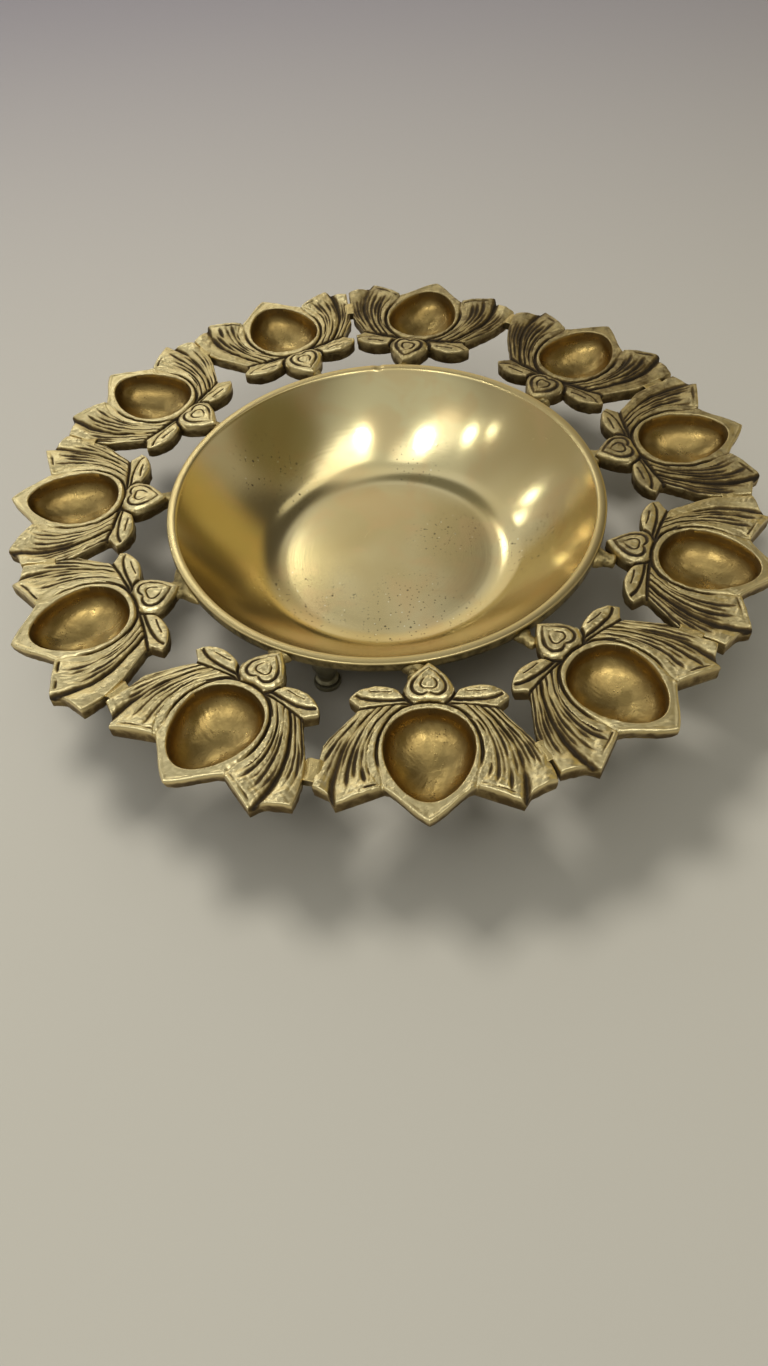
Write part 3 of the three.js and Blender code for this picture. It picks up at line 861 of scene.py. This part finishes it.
def lamp_relief(settings, x, y, edge, seed, plain_left, plain_right):
    """Height above the petals' face with cavity, rub and cup fields, over the whole top of a lamp."""
    aside = np.abs(y)
    out, cup_gap = cup_place(x, y)
    height = np.zeros_like(x)
    cavity = np.zeros_like(x)
    rub_and_light = np.full_like(x, 0.6)
    for side, plain in ((1, plain_left), (-1, plain_right)):
        mask = y * side >= 0
        values = wing_relief(x[mask], aside[mask], cup_gap[mask], seed * 2 + (side > 0), plain)
        for field, value in zip((height, cavity, rub_and_light), values):
            field[mask] = value
    below = x < np.interp(aside, *np.array(RELIEF_LINES["base"])[:, ::-1].T)
    sepal_gap = distance_to(RELIEF_LINES["sepal"], x, aside)
    vein_gap = distance_to(RELIEF_LINES["vein"], x, aside)
    leaf = shoulder((np.interp(aside, *np.array(SEPAL_LINE)[:, ::-1].T) - x) / 3.0)
    sepal_cut = np.maximum(0.9 * groove(sepal_gap, 1.05), 0.5 * groove(vein_gap, 0.7))
    height = np.where(below, 0.2 + 1.1 * leaf * shoulder(edge / 2.5) - sepal_cut, height)
    cavity = np.where(below, np.maximum(groove(sepal_gap, 1.15), 0.8 * groove(vein_gap, 0.75)), cavity)
    rub_and_light = np.where(below, 0.55 + 0.3 * leaf, rub_and_light)
    bud_out, bud_cut, bud_dark = bud_relief(x, y)
    in_bud = (x < -19.5) & (bud_out < 1.0) | (x < -26.5) & (aside < 11)
    height = np.where(in_bud, settings.bud_rise / MM * shoulder((1 - bud_out) / 0.5) - bud_cut, height)
    cavity = np.where(in_bud, bud_dark, cavity)
    rub_and_light = np.where(in_bud, 0.85, rub_and_light)
    bearing = np.arctan2(aside, x - CUP_OFFSET)
    band_edge = np.where(bearing < math.atan2(17.5, 15.5), np.inf, polar_reach(RELIEF_LINES["cup"], bearing))
    in_band = np.hypot(x - CUP_OFFSET, y) < band_edge
    cup_line = distance_to(RELIEF_LINES["cup"], x, aside)
    carved = 1 - 0.85 * smooth(x, 5, 15)
    dished = smooth(cup_gap, 1.6, 3.5) * (0.14 - 0.2 * np.exp(-((edge - 1.1) / 0.8) ** 2))
    band = shoulder(cup_gap / 0.7) * (1 - carved * (1 - shoulder(cup_line / 1.2))) - dished
    height = np.where(in_band, band, height)
    cavity = np.where(in_band, 0.0, cavity)
    rub_and_light = np.where(in_band, 0.8, rub_and_light)
    for gap, half, weight in (
        (cup_line, 1.0, carved),
        (np.where(aside > 6, distance_to(RELIEF_LINES["base"], x, aside), 99), 1.05, 1.0),
        (distance_to(RELIEF_LINES["bud side"], x, aside), 1.2, 1.0),
    ):
        height = height * (1 - weight * (1 - shoulder(gap / 1.5))) - 1.3 * weight * groove(gap, half)
        cavity = np.maximum(cavity, weight * groove(gap, half * 1.2) ** 0.9)
    in_cup = out < 1
    height = np.where(in_cup, -settings.cup_depth / MM * np.clip(1 - out ** 2, 0, 1) ** 0.42, height)
    # Darker towards the cup's walls: this drives the painted shade in the cup.
    cavity = np.where(in_cup, smooth(out, 0.45, 1.0), cavity)
    return height, cavity, rub_and_light, 1 - smooth(out, 0.975, 1.03)


def lamp_place(index):
    """A lamp's centre, its azimuth and the direction that it faces, in mm and degrees, from the bowl's axis."""
    slip, shift, turn = HAND_SET[index][:3]
    azimuth = LAMP_START - 360 / LAMP_COUNT * index + slip
    radius = RING_RADIUS + shift
    centre = radius * np.array([math.cos(math.radians(azimuth)), math.sin(math.radians(azimuth))])
    return centre, azimuth, azimuth + turn


def join_azimuth(index):
    """The direction midway between a lamp and the next one round."""
    here = lamp_place(index)[1]
    following = lamp_place((index + 1) % LAMP_COUNT)[1]
    return (here + following - (360 if following > here else 0)) / 2


def cutting_planes(index):
    """The faces filed on a lamp's two sides, as (normal, distance) in its own frame."""
    centre, _, facing = lamp_place(index)
    planes = []
    for join, side in ((index, -1), ((index - 1) % LAMP_COUNT, 1)):
        azimuth = math.radians(join_azimuth(join))
        normal = side * np.array([-math.sin(azimuth), math.cos(azimuth)])
        distance = -max(0.15, 0.62 * JOINS[join][0] - 0.45) - normal @ centre
        planes.append((spin(normal, -facing), distance))
    return planes


def lamp_reach(index, angles):
    """Distance from the cup's middle to the lamp's trimmed edge along each angle."""
    outline = trace(LAMP_POINT, LAMP_STEPS, 10)
    reach = polar_reach(outline, np.abs(angles))
    ray = np.stack([np.cos(angles), np.sin(angles)], axis=-1)
    start = np.array([CUP_OFFSET, 0.0])
    for normal, distance in cutting_planes(index):
        toward = ray @ normal
        limit = (distance - normal @ start) / np.where(toward > 1e-6, toward, 1e-6)
        reach = np.where(toward > 1e-6, np.minimum(reach, limit), reach)
    centre, _, facing = lamp_place(index)
    bowl = spin(-centre, -facing) - start
    toward = ray @ bowl
    clear = RIM_RADIUS + 0.15
    inside = toward ** 2 - (bowl @ bowl - clear ** 2)
    hit = toward - np.sqrt(np.maximum(inside, 0))
    return np.where((inside > 0) & (toward > 0), np.minimum(reach, hit), reach)


def lamp_angles(count):
    """Angles round a lamp, closer together where its edge is long or turns sharply."""
    outline = trace(LAMP_POINT, LAMP_STEPS, 24)
    bearing = np.arctan2(outline[:, 1], outline[:, 0] - CUP_OFFSET)
    length = np.concatenate([[0], np.cumsum(np.hypot(*np.diff(outline, axis=0).T))])
    share = 0.6 * length / length[-1] + 0.4 * bearing / math.pi
    half = np.interp(np.linspace(0, 1, count // 2 + 1), share, bearing)
    return np.concatenate([half, -half[-2:0:-1]])


def build_lamp(settings, index, fine):
    """One lotus lamp as a single closed casting."""
    angles = lamp_angles(int(LAMP_AROUND * fine))
    around = len(angles)
    reach = lamp_reach(index, angles)
    ray = np.stack([np.cos(angles), np.sin(angles)], axis=-1)
    rim_reach = np.interp(np.abs(angles), *cup_rim_reach())
    inner = 1 - (1 - np.linspace(0.04, 1, int(CUP_RINGS * fine))) ** 1.6
    petals = np.linspace(0, 1, int(PETAL_RINGS * fine) + 1)[1:]
    distance = np.vstack([inner[:, None] * rim_reach, rim_reach + petals[:, None] * (reach - rim_reach)])
    x = CUP_OFFSET + distance * ray[:, 0]
    y = distance * ray[:, 1]
    plain_left, plain_right = HAND_SET[index][4:]
    edge = distance_to_edge(index, x, y, reach, distance)
    height, cavity, rub_and_light, cup = lamp_relief(settings, x, y, edge, 40 + index, plain_left, plain_right)
    height = height - 0.7 * (1 - shoulder(edge / 0.8)) * (1 - cup)
    # Each lamp's share of wear and painted light: it brightens the lamp, or below zero darkens and browns it.
    rub_and_light = np.maximum(rub_and_light, (1 - smooth(edge, 0.3, 1.6)) * 0.95) + WEAR_AND_PAINTED_LIGHT[index]
    cavity = cavity + max(0.0, -WEAR_AND_PAINTED_LIGHT[index]) * 0.75 * (1 - cup)
    tip = smooth(x - 0.6 * np.abs(y), 8, 16)
    points = np.stack([x, y, height], axis=-1)
    soft = lumps(points, 300 + index, 5.0) * 0.13 + lumps(points, 500 + index, 1.7) * 0.06
    bend = lumps(points, 700 + index, 55.0) * 0.35
    points[..., 2] += soft * (1 - 0.6 * np.maximum(cup, tip)) + bend * smooth(distance / rim_reach, 0.9, 1.3)
    rim = points[-1]
    undercut = 0.45 + 1.7 * tip[-1]
    plate = settings.plate / MM
    wall = []
    for share in WALL_LEVELS:
        ring = rim.copy()
        ring[:, 2] = rim[:, 2] + share * (-plate - rim[:, 2])
        drift = lumps(ring, 900 + index, 4.0) * 0.14 - undercut * share ** 2
        ring[:, :2] += drift[:, None] * ray
        wall.append(ring)
    back = []
    for share in BACK_SHARES:
        ring = np.zeros_like(rim)
        ring[:, 0] = CUP_OFFSET + share * reach * ray[:, 0]
        ring[:, 1] = share * reach * ray[:, 1]
        bowl_out = cup_place(ring[:, 0], ring[:, 1], settings.cup_wall / MM)[0]
        bulge = -(settings.cup_depth + settings.cup_wall) / MM * np.clip(1 - bowl_out ** 2, 0, 1) ** 0.45
        ring[:, 2] = np.minimum(-plate, bulge) + lumps(ring, 1100 + index, 4.0) * 0.12
        back.append(ring)
    rings = np.concatenate([points, np.stack(wall + back)])
    extra = len(wall) + len(back)

    def spread(field, values):
        return np.vstack([field, *(np.full((1, around), value) for value in values)])

    centre, _, facing = lamp_place(index)
    lamp_z = LIP_Z - settings.sink / MM
    offset = np.array([AXIS_X + centre[0], AXIS_Y + centre[1], lamp_z])
    rings = spin(rings, facing) + offset
    middle = spin(np.array([CUP_OFFSET, 0.0]), facing)
    top = offset + (middle[0], middle[1], points[0, :, 2].mean())
    bottom = offset + (middle[0], middle[1], -(settings.cup_depth + settings.cup_wall) / MM)
    return skin(f"lotus_casting_{index + 1:02d}", rings, top, bottom, {
        # The side walls and the underside are set darker and browner: partly unpolished patina, partly painted
        # shade that deepens down the walls.
        "cavity": (spread(cavity, [0.36, 0.46, 0.48, 0.45] + [0.42] * len(back)), 0, 0.3),
        "rub_and_light": (spread(rub_and_light, [0.4, 0.2, 0.15, 0.2] + [0.3] * len(back)), 0.5, 0.35),
        "cup": (spread(cup, [0.0] * extra), 1, 0),
    })


def cup_rim_reach():
    """The cup's rim as (angles, distances) from the cup's middle."""
    turn = np.linspace(0, math.pi, 361)
    x = CUP_LENGTH / 2 * np.cos(turn)
    y = CUP_WIDTH / 2 * np.sin(turn) * (1 - CUP_TAPER * np.cos(turn))
    return np.arctan2(y, x), np.hypot(x, y)


def distance_to_edge(index, x, y, reach, distance):
    """How far each point lies inside the lamp's trimmed edge."""
    outline = trace(LAMP_POINT, LAMP_STEPS, 6)
    edge = distance_to(outline, x, np.abs(y))
    for normal, limit in cutting_planes(index):
        edge = np.minimum(edge, np.abs(limit - x * normal[0] - y * normal[1]))
    return np.minimum(edge, np.maximum(reach - distance, 0))


# ------------------------------------------------------------------ struts, webs and feet


def build_strut(settings, index):
    """A lump of brazing from the bud's flank to the rim, spreading where it meets the rim."""
    centre, _, facing = lamp_place(index)
    side = HAND_SET[index][3]
    start = centre + spin(np.array([-33.0, side]), facing)
    bearing = math.atan2(*(centre + spin(np.array([-BUD_REACH, side]), facing))[::-1])
    finish = (RIM_RADIUS - 0.8) * np.array([math.cos(bearing), math.sin(bearing)])
    along = np.linspace(0, 1, 36)
    angle = circle(56)
    line = start + along[:, None] * (finish - start)
    forward = (finish - start) / np.linalg.norm(finish - start)
    across = np.array([-forward[1], forward[0]])
    radius = settings.strut_radius / MM
    spread = 1.9 if index in SPREAD_STRUTS else 0.9
    flare = 1 + 0.06 * np.cos(along * 7 + index) + spread * smooth(along, 0.45, 1.0)
    radius *= STRUT_SIZE[index]
    rounded = shoulder(np.minimum(along / 0.16, (1.02 - along) / 0.10))
    wide = radius * flare * rounded
    tall = np.minimum(radius * (1 + 0.1 * np.sin(along * 7 + index)), 3.2) * rounded
    aside = wide[:, None] * np.cos(angle)
    straight = line[:, None, :] + aside[..., None] * across
    out = np.hypot(*line.T)[:, None]
    swept = np.arctan2(line[:, 1], line[:, 0])[:, None] - aside / out
    hugging = np.stack([out * np.cos(swept), out * np.sin(swept)], axis=-1)
    flat = straight + (hugging - straight) * smooth(along, 0.3, 0.8)[:, None, None]
    level = LIP_Z - 4.5
    rings = np.concatenate([flat, (level + tall[:, None] * np.sin(angle))[..., None]], axis=-1)
    outward = np.stack([np.cos(angle) * across[0], np.cos(angle) * across[1], np.sin(angle)], axis=-1)
    bumps = lumps(rings, 60 + index, 5.5) * 0.26 + lumps(rings, 80 + index, 1.8) * 0.08
    rings += outward * bumps[..., None]
    rings += (AXIS_X, AXIS_Y, 0)
    ends = [(*(point + (AXIS_X, AXIS_Y)), level) for point in (start, finish)]
    low = np.clip(-bumps * 1.2, 0, 1)
    return skin(f"strut_lump_{index + 1:02d}", rings[:, ::-1], *ends, {
        "cavity": (low[:, ::-1] * 0.5 + 0.25, 0.3, 0.3),
        "rub_and_light": (np.clip(0.55 + bumps, 0, 1)[:, ::-1], 0.5, 0.5),
    })


def build_web(settings, index):
    """A flat filed web of brazing between two lamps' outer petals."""
    gap, inner, outer = JOINS[index]
    half = gap + 3.2
    middle = RING_RADIUS + (inner + outer) / 2
    length = (outer - inner) / 2 + 0.9
    around = 120
    angle = circle(around)
    square = 0.7
    shape_y = np.sign(np.sin(angle)) * np.abs(np.sin(angle)) ** square * half
    hollow = 0.80 + 0.28 * (shape_y / half) ** 2
    shape_x = np.sign(np.cos(angle)) * np.abs(np.cos(angle)) ** square * length * hollow
    top = LIP_Z - 0.75
    bottom = top - settings.web_thickness / MM
    levels = [(share, top) for share in np.linspace(0.06, 0.90, 14)]
    levels += [(0.95, top - 0.1), (0.98, top - 0.3), (1.0, top - 0.8), (1.0, (top + bottom) / 2)]
    levels += [(0.99, bottom + 0.6), (0.95, bottom + 0.1)] + [(share, bottom) for share in (0.8, 0.6, 0.4, 0.2)]
    rings = np.stack([np.stack([middle + share * shape_x, share * shape_y, np.full(around, z)], axis=-1)
                      for share, z in levels])
    bumps = lumps(rings, 20 + index, 9.0) * 0.22 + lumps(rings, 30 + index, 2.5) * 0.05
    upper = smooth(rings[..., 2], bottom, top)
    rings[..., 2] += (bumps - 1.9 * smooth(np.abs(rings[..., 1]), 0.4 * gap + 0.3, half)) * upper
    rings[..., 0] += lumps(rings, 130 + index, 8.0) * 0.5
    azimuth = join_azimuth(index)
    rings = spin(rings, azimuth) + (AXIS_X, AXIS_Y, 0)
    hub = spin(np.array([middle, 0.0]), azimuth) + (AXIS_X, AXIS_Y)
    shares = np.array([share for share, _ in levels])[:, None]
    return skin(f"web_fill_{index + 1:02d}", rings, (*hub, top), (*hub, bottom), {
        "cavity": (np.clip(-bumps, 0, 1) * 0.4 + 0.5 * smooth(shares, 0.95, 1.0), 0, 0.3),
        "rub_and_light": (np.clip(0.9 + bumps * 0.6, 0, 1), 0.9, 0.3),
    })


def build_foot(settings, bowl, index):
    """A short turned and cast foot whose leg runs into the bowl's underside."""
    low, high = (Vector(corner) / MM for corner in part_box(f"foot_{index + 1:02d}"))
    hub = ((low.x + high.x) / 2, (low.y + high.y) / 2)
    pad = (high.x - low.x) / 2
    waist = settings.waist / MM
    step = settings.pad_height / MM
    neck = UNDERSIDE_Z
    profile = [(pad * share, 0.0) for share in np.linspace(0.1, 0.9, 6)]
    profile += rounded_corner((pad, 0.0), (-1, 0), (0, 1), 0.5, 4)
    profile += rounded_corner((pad, step), (0, -1), (-1, 0), 0.9, 6)
    profile += [(waist + 1.1, step + 0.4), (waist + 1.3, step + 0.9), (waist + 1.0, step + 1.4)]
    profile += [(waist, step + 2.0)]
    for share in np.linspace(0.08, 1, 14):
        radius = waist + (pad - waist) * (0.5 - 0.5 * math.cos(math.pi * share))
        profile.append((radius, step + 2 + share * (neck - step - 2)))
    profile += [(pad * share, high.z + 2) for share in (1.0, 0.98, 0.8, 0.6, 0.4, 0.2)]
    rings = turned(profile, 72, hub)
    outside = np.array(bowl_curve(bowl, bowl.wall / MM, 14))
    underside = np.interp(np.hypot(rings[..., 0] - AXIS_X, rings[..., 1] - AXIS_Y), *outside.T)
    rings[..., 2] = np.minimum(rings[..., 2], underside + 1.0)
    bumps = lumps(rings, 90 + index, 5.0) * 0.12
    radius = np.array(profile)[:, 0][:, None]
    rings[..., :2] += bumps[..., None] * (rings[..., :2] - hub) / np.maximum(radius, 1)[..., None] * (
        smooth(rings[..., 2], 0.2, 1.5))[..., None]
    height = rings[..., 2]
    return skin(f"cast_foot_{index + 1:02d}", rings, (*hub, 0), (*hub, rings[-1, :, 2].mean()), {
        "cavity": (0.5 * np.exp(-((height - step - 0.2) / 0.7) ** 2) + 0.1, 0.2, 0.3),
        "rub_and_light": (np.clip(0.5 + bumps * 3, 0, 1), 0.4, 0.4),
    })


# ------------------------------------------------------------------ stage

# In rim radii from the middle of the lip's plane, and in degrees.
CAMERA_PLACE = (-0.0745, -3.6938, 3.2793)
CAMERA_TARGET = (-0.074, -1.092, 0.0)
CAMERA_ROLL = -4.58

LIGHT_DISTANCE = 1.6
GLINT_COLOR = (0.93, 0.98, 1.0)

# Small lamps that only show as reflections: azimuth and elevation in degrees, width in metres, watts.
GLINTS = (
    ("glint_front", -73, 62, 0.10, 1.6),
    ("glint_middle", -133, 60, 0.12, 2.0),
    ("glint_left", -162, 48, 0.07, 0.65),
    ("glint_far_left", -172, 40, 0.04, 0.22),
    ("glint_back_left", 145, 26, 0.05, 0.35),
    ("glint_low_left", 137, 28, 0.05, 0.35),
    ("glint_window", 106, 41, 0.20, 0.7),
)

# The room's own colour, and soft patches over it: azimuth and elevation of a patch's middle in degrees,
# the cosines at which it is full and gone, and its colour. Later ones lie over earlier ones.
ROOM_COLOR = (0.58, 0.57, 0.54, 1)
ROOM_PATCHES = (
    (-90, 0, 0.95, 0.0, (0.34, 0.33, 0.29, 1)),
    (90, 88, 0.97, 0.75, (1.12, 1.14, 1.12, 1)),
    (-110, 56, 0.95, 0.72, (0.78, 0.83, 0.84, 1)),
    (125, 48, 0.98, 0.80, (1.00, 1.04, 1.10, 1)),
    (96, 11, 0.98, 0.82, (1.15, 1.08, 0.88, 1)),
    (42, 46, 0.94, 0.87, (0.13, 0.12, 0.10, 1)),
    (112, 62, 0.987, 0.96, (0.26, 0.26, 0.22, 1)),
    (-21, 38, 0.975, 0.90, (0.26, 0.235, 0.13, 1)),
    (45, 8, 0.97, 0.84, (0.72, 0.60, 0.26, 1)),
    (-58, 64, 0.997, 0.985, (3.4, 3.5, 3.6, 1)),
    (-40, 65, 0.997, 0.987, (3.0, 3.1, 3.1, 1)),
    (-22, 65, 0.997, 0.987, (2.6, 2.6, 2.6, 1)),
    (-3, 65, 0.997, 0.987, (2.2, 2.2, 2.1, 1)),
    (14, 63, 0.997, 0.987, (1.6, 1.6, 1.5, 1)),
    (27, 56, 0.997, 0.987, (1.1, 1.1, 1.0, 1)),
    (-124, 69, 0.997, 0.985, (2.2, 2.25, 2.3, 1)),
    (-142, 52, 0.997, 0.985, (2.0, 2.05, 2.1, 1)),
)


def heading(azimuth, elevation):
    """A unit vector towards a direction."""
    turn, rise = math.radians(azimuth), math.radians(elevation)
    return Vector((math.cos(rise) * math.cos(turn), math.cos(rise) * math.sin(turn), math.sin(rise)))


def add_light(name, azimuth, elevation, width_height, power, color=(1, 1, 1)):
    """An area light that looks at the bowl from a direction."""
    data = bpy.data.lights.new(name, "AREA")
    data.shape = "RECTANGLE"
    data.size, data.size_y = width_height
    data.energy = power
    data.color = color
    light = bpy.data.objects.new(name, data)
    hub = Vector((AXIS_X, AXIS_Y, LIP_Z)) * MM
    away = heading(azimuth, elevation)
    light.location = hub + LIGHT_DISTANCE * away
    light.rotation_euler = away.to_track_quat("Z", "Y").to_euler()
    bpy.context.scene.collection.objects.link(light)
    return light


def build_camera(settings):
    """The camera above the front, rolled a little as a hand-held one is."""
    data = bpy.data.cameras.new("camera")
    data.lens = settings.lens
    data.sensor_width = 36.0
    data.sensor_fit = "AUTO"
    data.clip_start = 0.01
    camera = bpy.data.objects.new("camera", data)
    hub = Vector((AXIS_X, AXIS_Y, LIP_Z)) * MM
    radius = RIM_RADIUS * MM
    place_at = hub + radius * Vector(CAMERA_PLACE)
    looks_at = hub + radius * Vector(CAMERA_TARGET)
    back = (place_at - looks_at).normalized()
    right = Vector((0, 0, 1)).cross(back).normalized()
    up = back.cross(right)
    roll = math.radians(CAMERA_ROLL)
    x_axis = math.cos(roll) * right + math.sin(roll) * up
    y_axis = -math.sin(roll) * right + math.cos(roll) * up
    turn = Matrix((x_axis, y_axis, back)).transposed().to_4x4()
    camera.matrix_world = Matrix.Translation(place_at) @ turn
    bpy.context.scene.collection.objects.link(camera)
    bpy.context.scene.camera = camera


def build_room_light(settings):
    """Soft light from all round, paler above and towards the back."""
    world = bpy.data.worlds.new("soft room")
    bpy.context.scene.world = world
    world.use_nodes = True
    tree = world.node_tree
    background = tree.nodes["Background"]
    direction = tree.nodes.new("ShaderNodeTexCoord").outputs["Generated"]
    color = ROOM_COLOR
    for azimuth, elevation, near, far, glow in ROOM_PATCHES:
        facing = vector_node(tree, "DOT_PRODUCT", direction, heading(azimuth, elevation))
        color = mix_color(tree, remap(tree, facing.outputs["Value"], far, near), color, glow)
    feed(tree, background, {"Color": color, "Strength": settings.sky_strength})


def build_floor(settings):
    """A wide pale floor, painted darker towards the back as a painted fall-off of light."""
    half = 3.0
    mesh = bpy.data.meshes.new("floor")
    corners = [(-half, -half, 0), (half, -half, 0), (half, half, 0), (-half, half, 0)]
    mesh.from_pydata(corners, [], [(0, 1, 2, 3)])
    floor = bpy.data.objects.new("floor", mesh)
    floor.location.z = -0.0002
    bpy.context.scene.collection.objects.link(floor)
    material, tree, shader, where = new_material("Pale floor")
    tone = noise(tree, where, 3.0, 3.0, 0.5)
    depth = add_node(tree, "ShaderNodeSeparateXYZ", {0: where}).outputs[1]
    # Painted light: the floor's colour darkens from front to back.
    painted_light_falloff = mix_color(tree, remap(tree, depth, -0.25, 1.3), toned(settings.floor_color),
                      toned(settings.floor_far_shade_color))
    feed(tree, shader, {
        "Base Color": mix_color(tree, times(tree, tone, 0.12), painted_light_falloff, (0.22, 0.205, 0.185, 1)),
        "Roughness": 0.55,
    })
    mesh.materials.append(material)


# ------------------------------------------------------------------ operators


class URLI_OT_stage(bpy.types.Operator):
    """Add the floor, the camera and the lights"""

    bl_idname = "urli.stage"
    bl_label = "Stage"

    def execute(self, context):
        settings = context.scene.urli_stage
        context.scene.view_settings.view_transform = "Standard"
        build_camera(settings)
        build_room_light(settings)
        build_floor(settings)
        add_light("light_front", -108, 56, (0.7, 0.5), 5.0).visible_glossy = False
        add_light("light_overhead", 130, 62, (0.5, 0.45), 25.0).visible_glossy = False
        for name, azimuth, elevation, width, power in GLINTS:
            glint = add_light(name, azimuth, elevation, (width, width), power, GLINT_COLOR)
            glint.visible_diffuse = False
        return {"FINISHED"}


class URLI_OT_bowl(bpy.types.Operator):
    """Build the turned bowl"""

    bl_idname = "urli.bowl"
    bl_label = "Bowl"

    def execute(self, context):
        settings = context.scene.urli_bowl
        place("bowl_shell", build_bowl(settings), "bowl", bowl_material(settings))
        return {"FINISHED"}


class URLI_OT_lamps(bpy.types.Operator):
    """Build the ring of lotus lamps"""

    bl_idname = "urli.lamps"
    bl_label = "Lotus Lamps"

    def execute(self, context):
        settings = context.scene.urli_lamp
        material = lamp_material(settings)
        fine = 1.0
        for index in range(LAMP_COUNT):
            mesh = build_lamp(settings, index, fine)
            place(mesh.name, mesh, f"lotus_diya_{index + 1:02d}", material)
        return {"FINISHED"}


class URLI_OT_joints(bpy.types.Operator):
    """Build the brazed struts and webs"""

    bl_idname = "urli.joints"
    bl_label = "Struts and Webs"

    def execute(self, context):
        settings = context.scene.urli_joints
        material = plain_cast_material("Brazed brass", settings.color, 1100.0, 0.00022)
        for index in range(LAMP_COUNT):
            strut = build_strut(settings, index)
            place(strut.name, strut, f"rim_strut_{index + 1:02d}", material)
            web = build_web(settings, index)
            place(web.name, web, f"bridge_{index + 1:02d}", material)
        return {"FINISHED"}


class URLI_OT_feet(bpy.types.Operator):
    """Build the feet under the bowl"""

    bl_idname = "urli.feet"
    bl_label = "Feet"

    def execute(self, context):
        settings = context.scene.urli_feet
        # The feet's material carries painted shade: its colour is darkened and greyed for the shade under the
        # bowl.
        material = plain_cast_material("Foot brass with painted shade", settings.color, 1300.0, 0.00018)
        for index in range(FOOT_COUNT):
            foot = build_foot(settings, context.scene.urli_bowl, index)
            place(foot.name, foot, f"foot_{index + 1:02d}", material)
        return {"FINISHED"}


class URLI_PT_panel(bpy.types.Panel):
    """Buttons that build the urli"""

    bl_idname = "URLI_PT_panel"
    bl_label = "Brass Urli"
    bl_space_type = "VIEW_3D"
    bl_region_type = "UI"
    bl_category = "Urli"

    def draw(self, context):
        for operator in OPERATORS:
            self.layout.operator(operator.bl_idname)


OPERATORS = (URLI_OT_stage, URLI_OT_bowl, URLI_OT_lamps, URLI_OT_joints, URLI_OT_feet)
SETTINGS = {
    "urli_bowl": URLI_PG_bowl,
    "urli_lamp": URLI_PG_lamp,
    "urli_joints": URLI_PG_joints,
    "urli_feet": URLI_PG_feet,
    "urli_stage": URLI_PG_stage,
}


def register():
    for name, group in SETTINGS.items():
        bpy.utils.register_class(group)
        setattr(bpy.types.Scene, name, bpy.props.PointerProperty(type=group))
    for item in (*OPERATORS, URLI_PT_panel):
        bpy.utils.register_class(item)


def unregister():
    for item in (URLI_PT_panel, *reversed(OPERATORS)):
        bpy.utils.unregister_class(item)
    for name, group in SETTINGS.items():
        delattr(bpy.types.Scene, name)
        bpy.utils.unregister_class(group)


def main():
    register()
    bpy.ops.urli.stage()
    bpy.ops.urli.bowl()
    bpy.ops.urli.lamps()
    bpy.ops.urli.joints()
    bpy.ops.urli.feet()


if __name__ == "__main__":
    main()
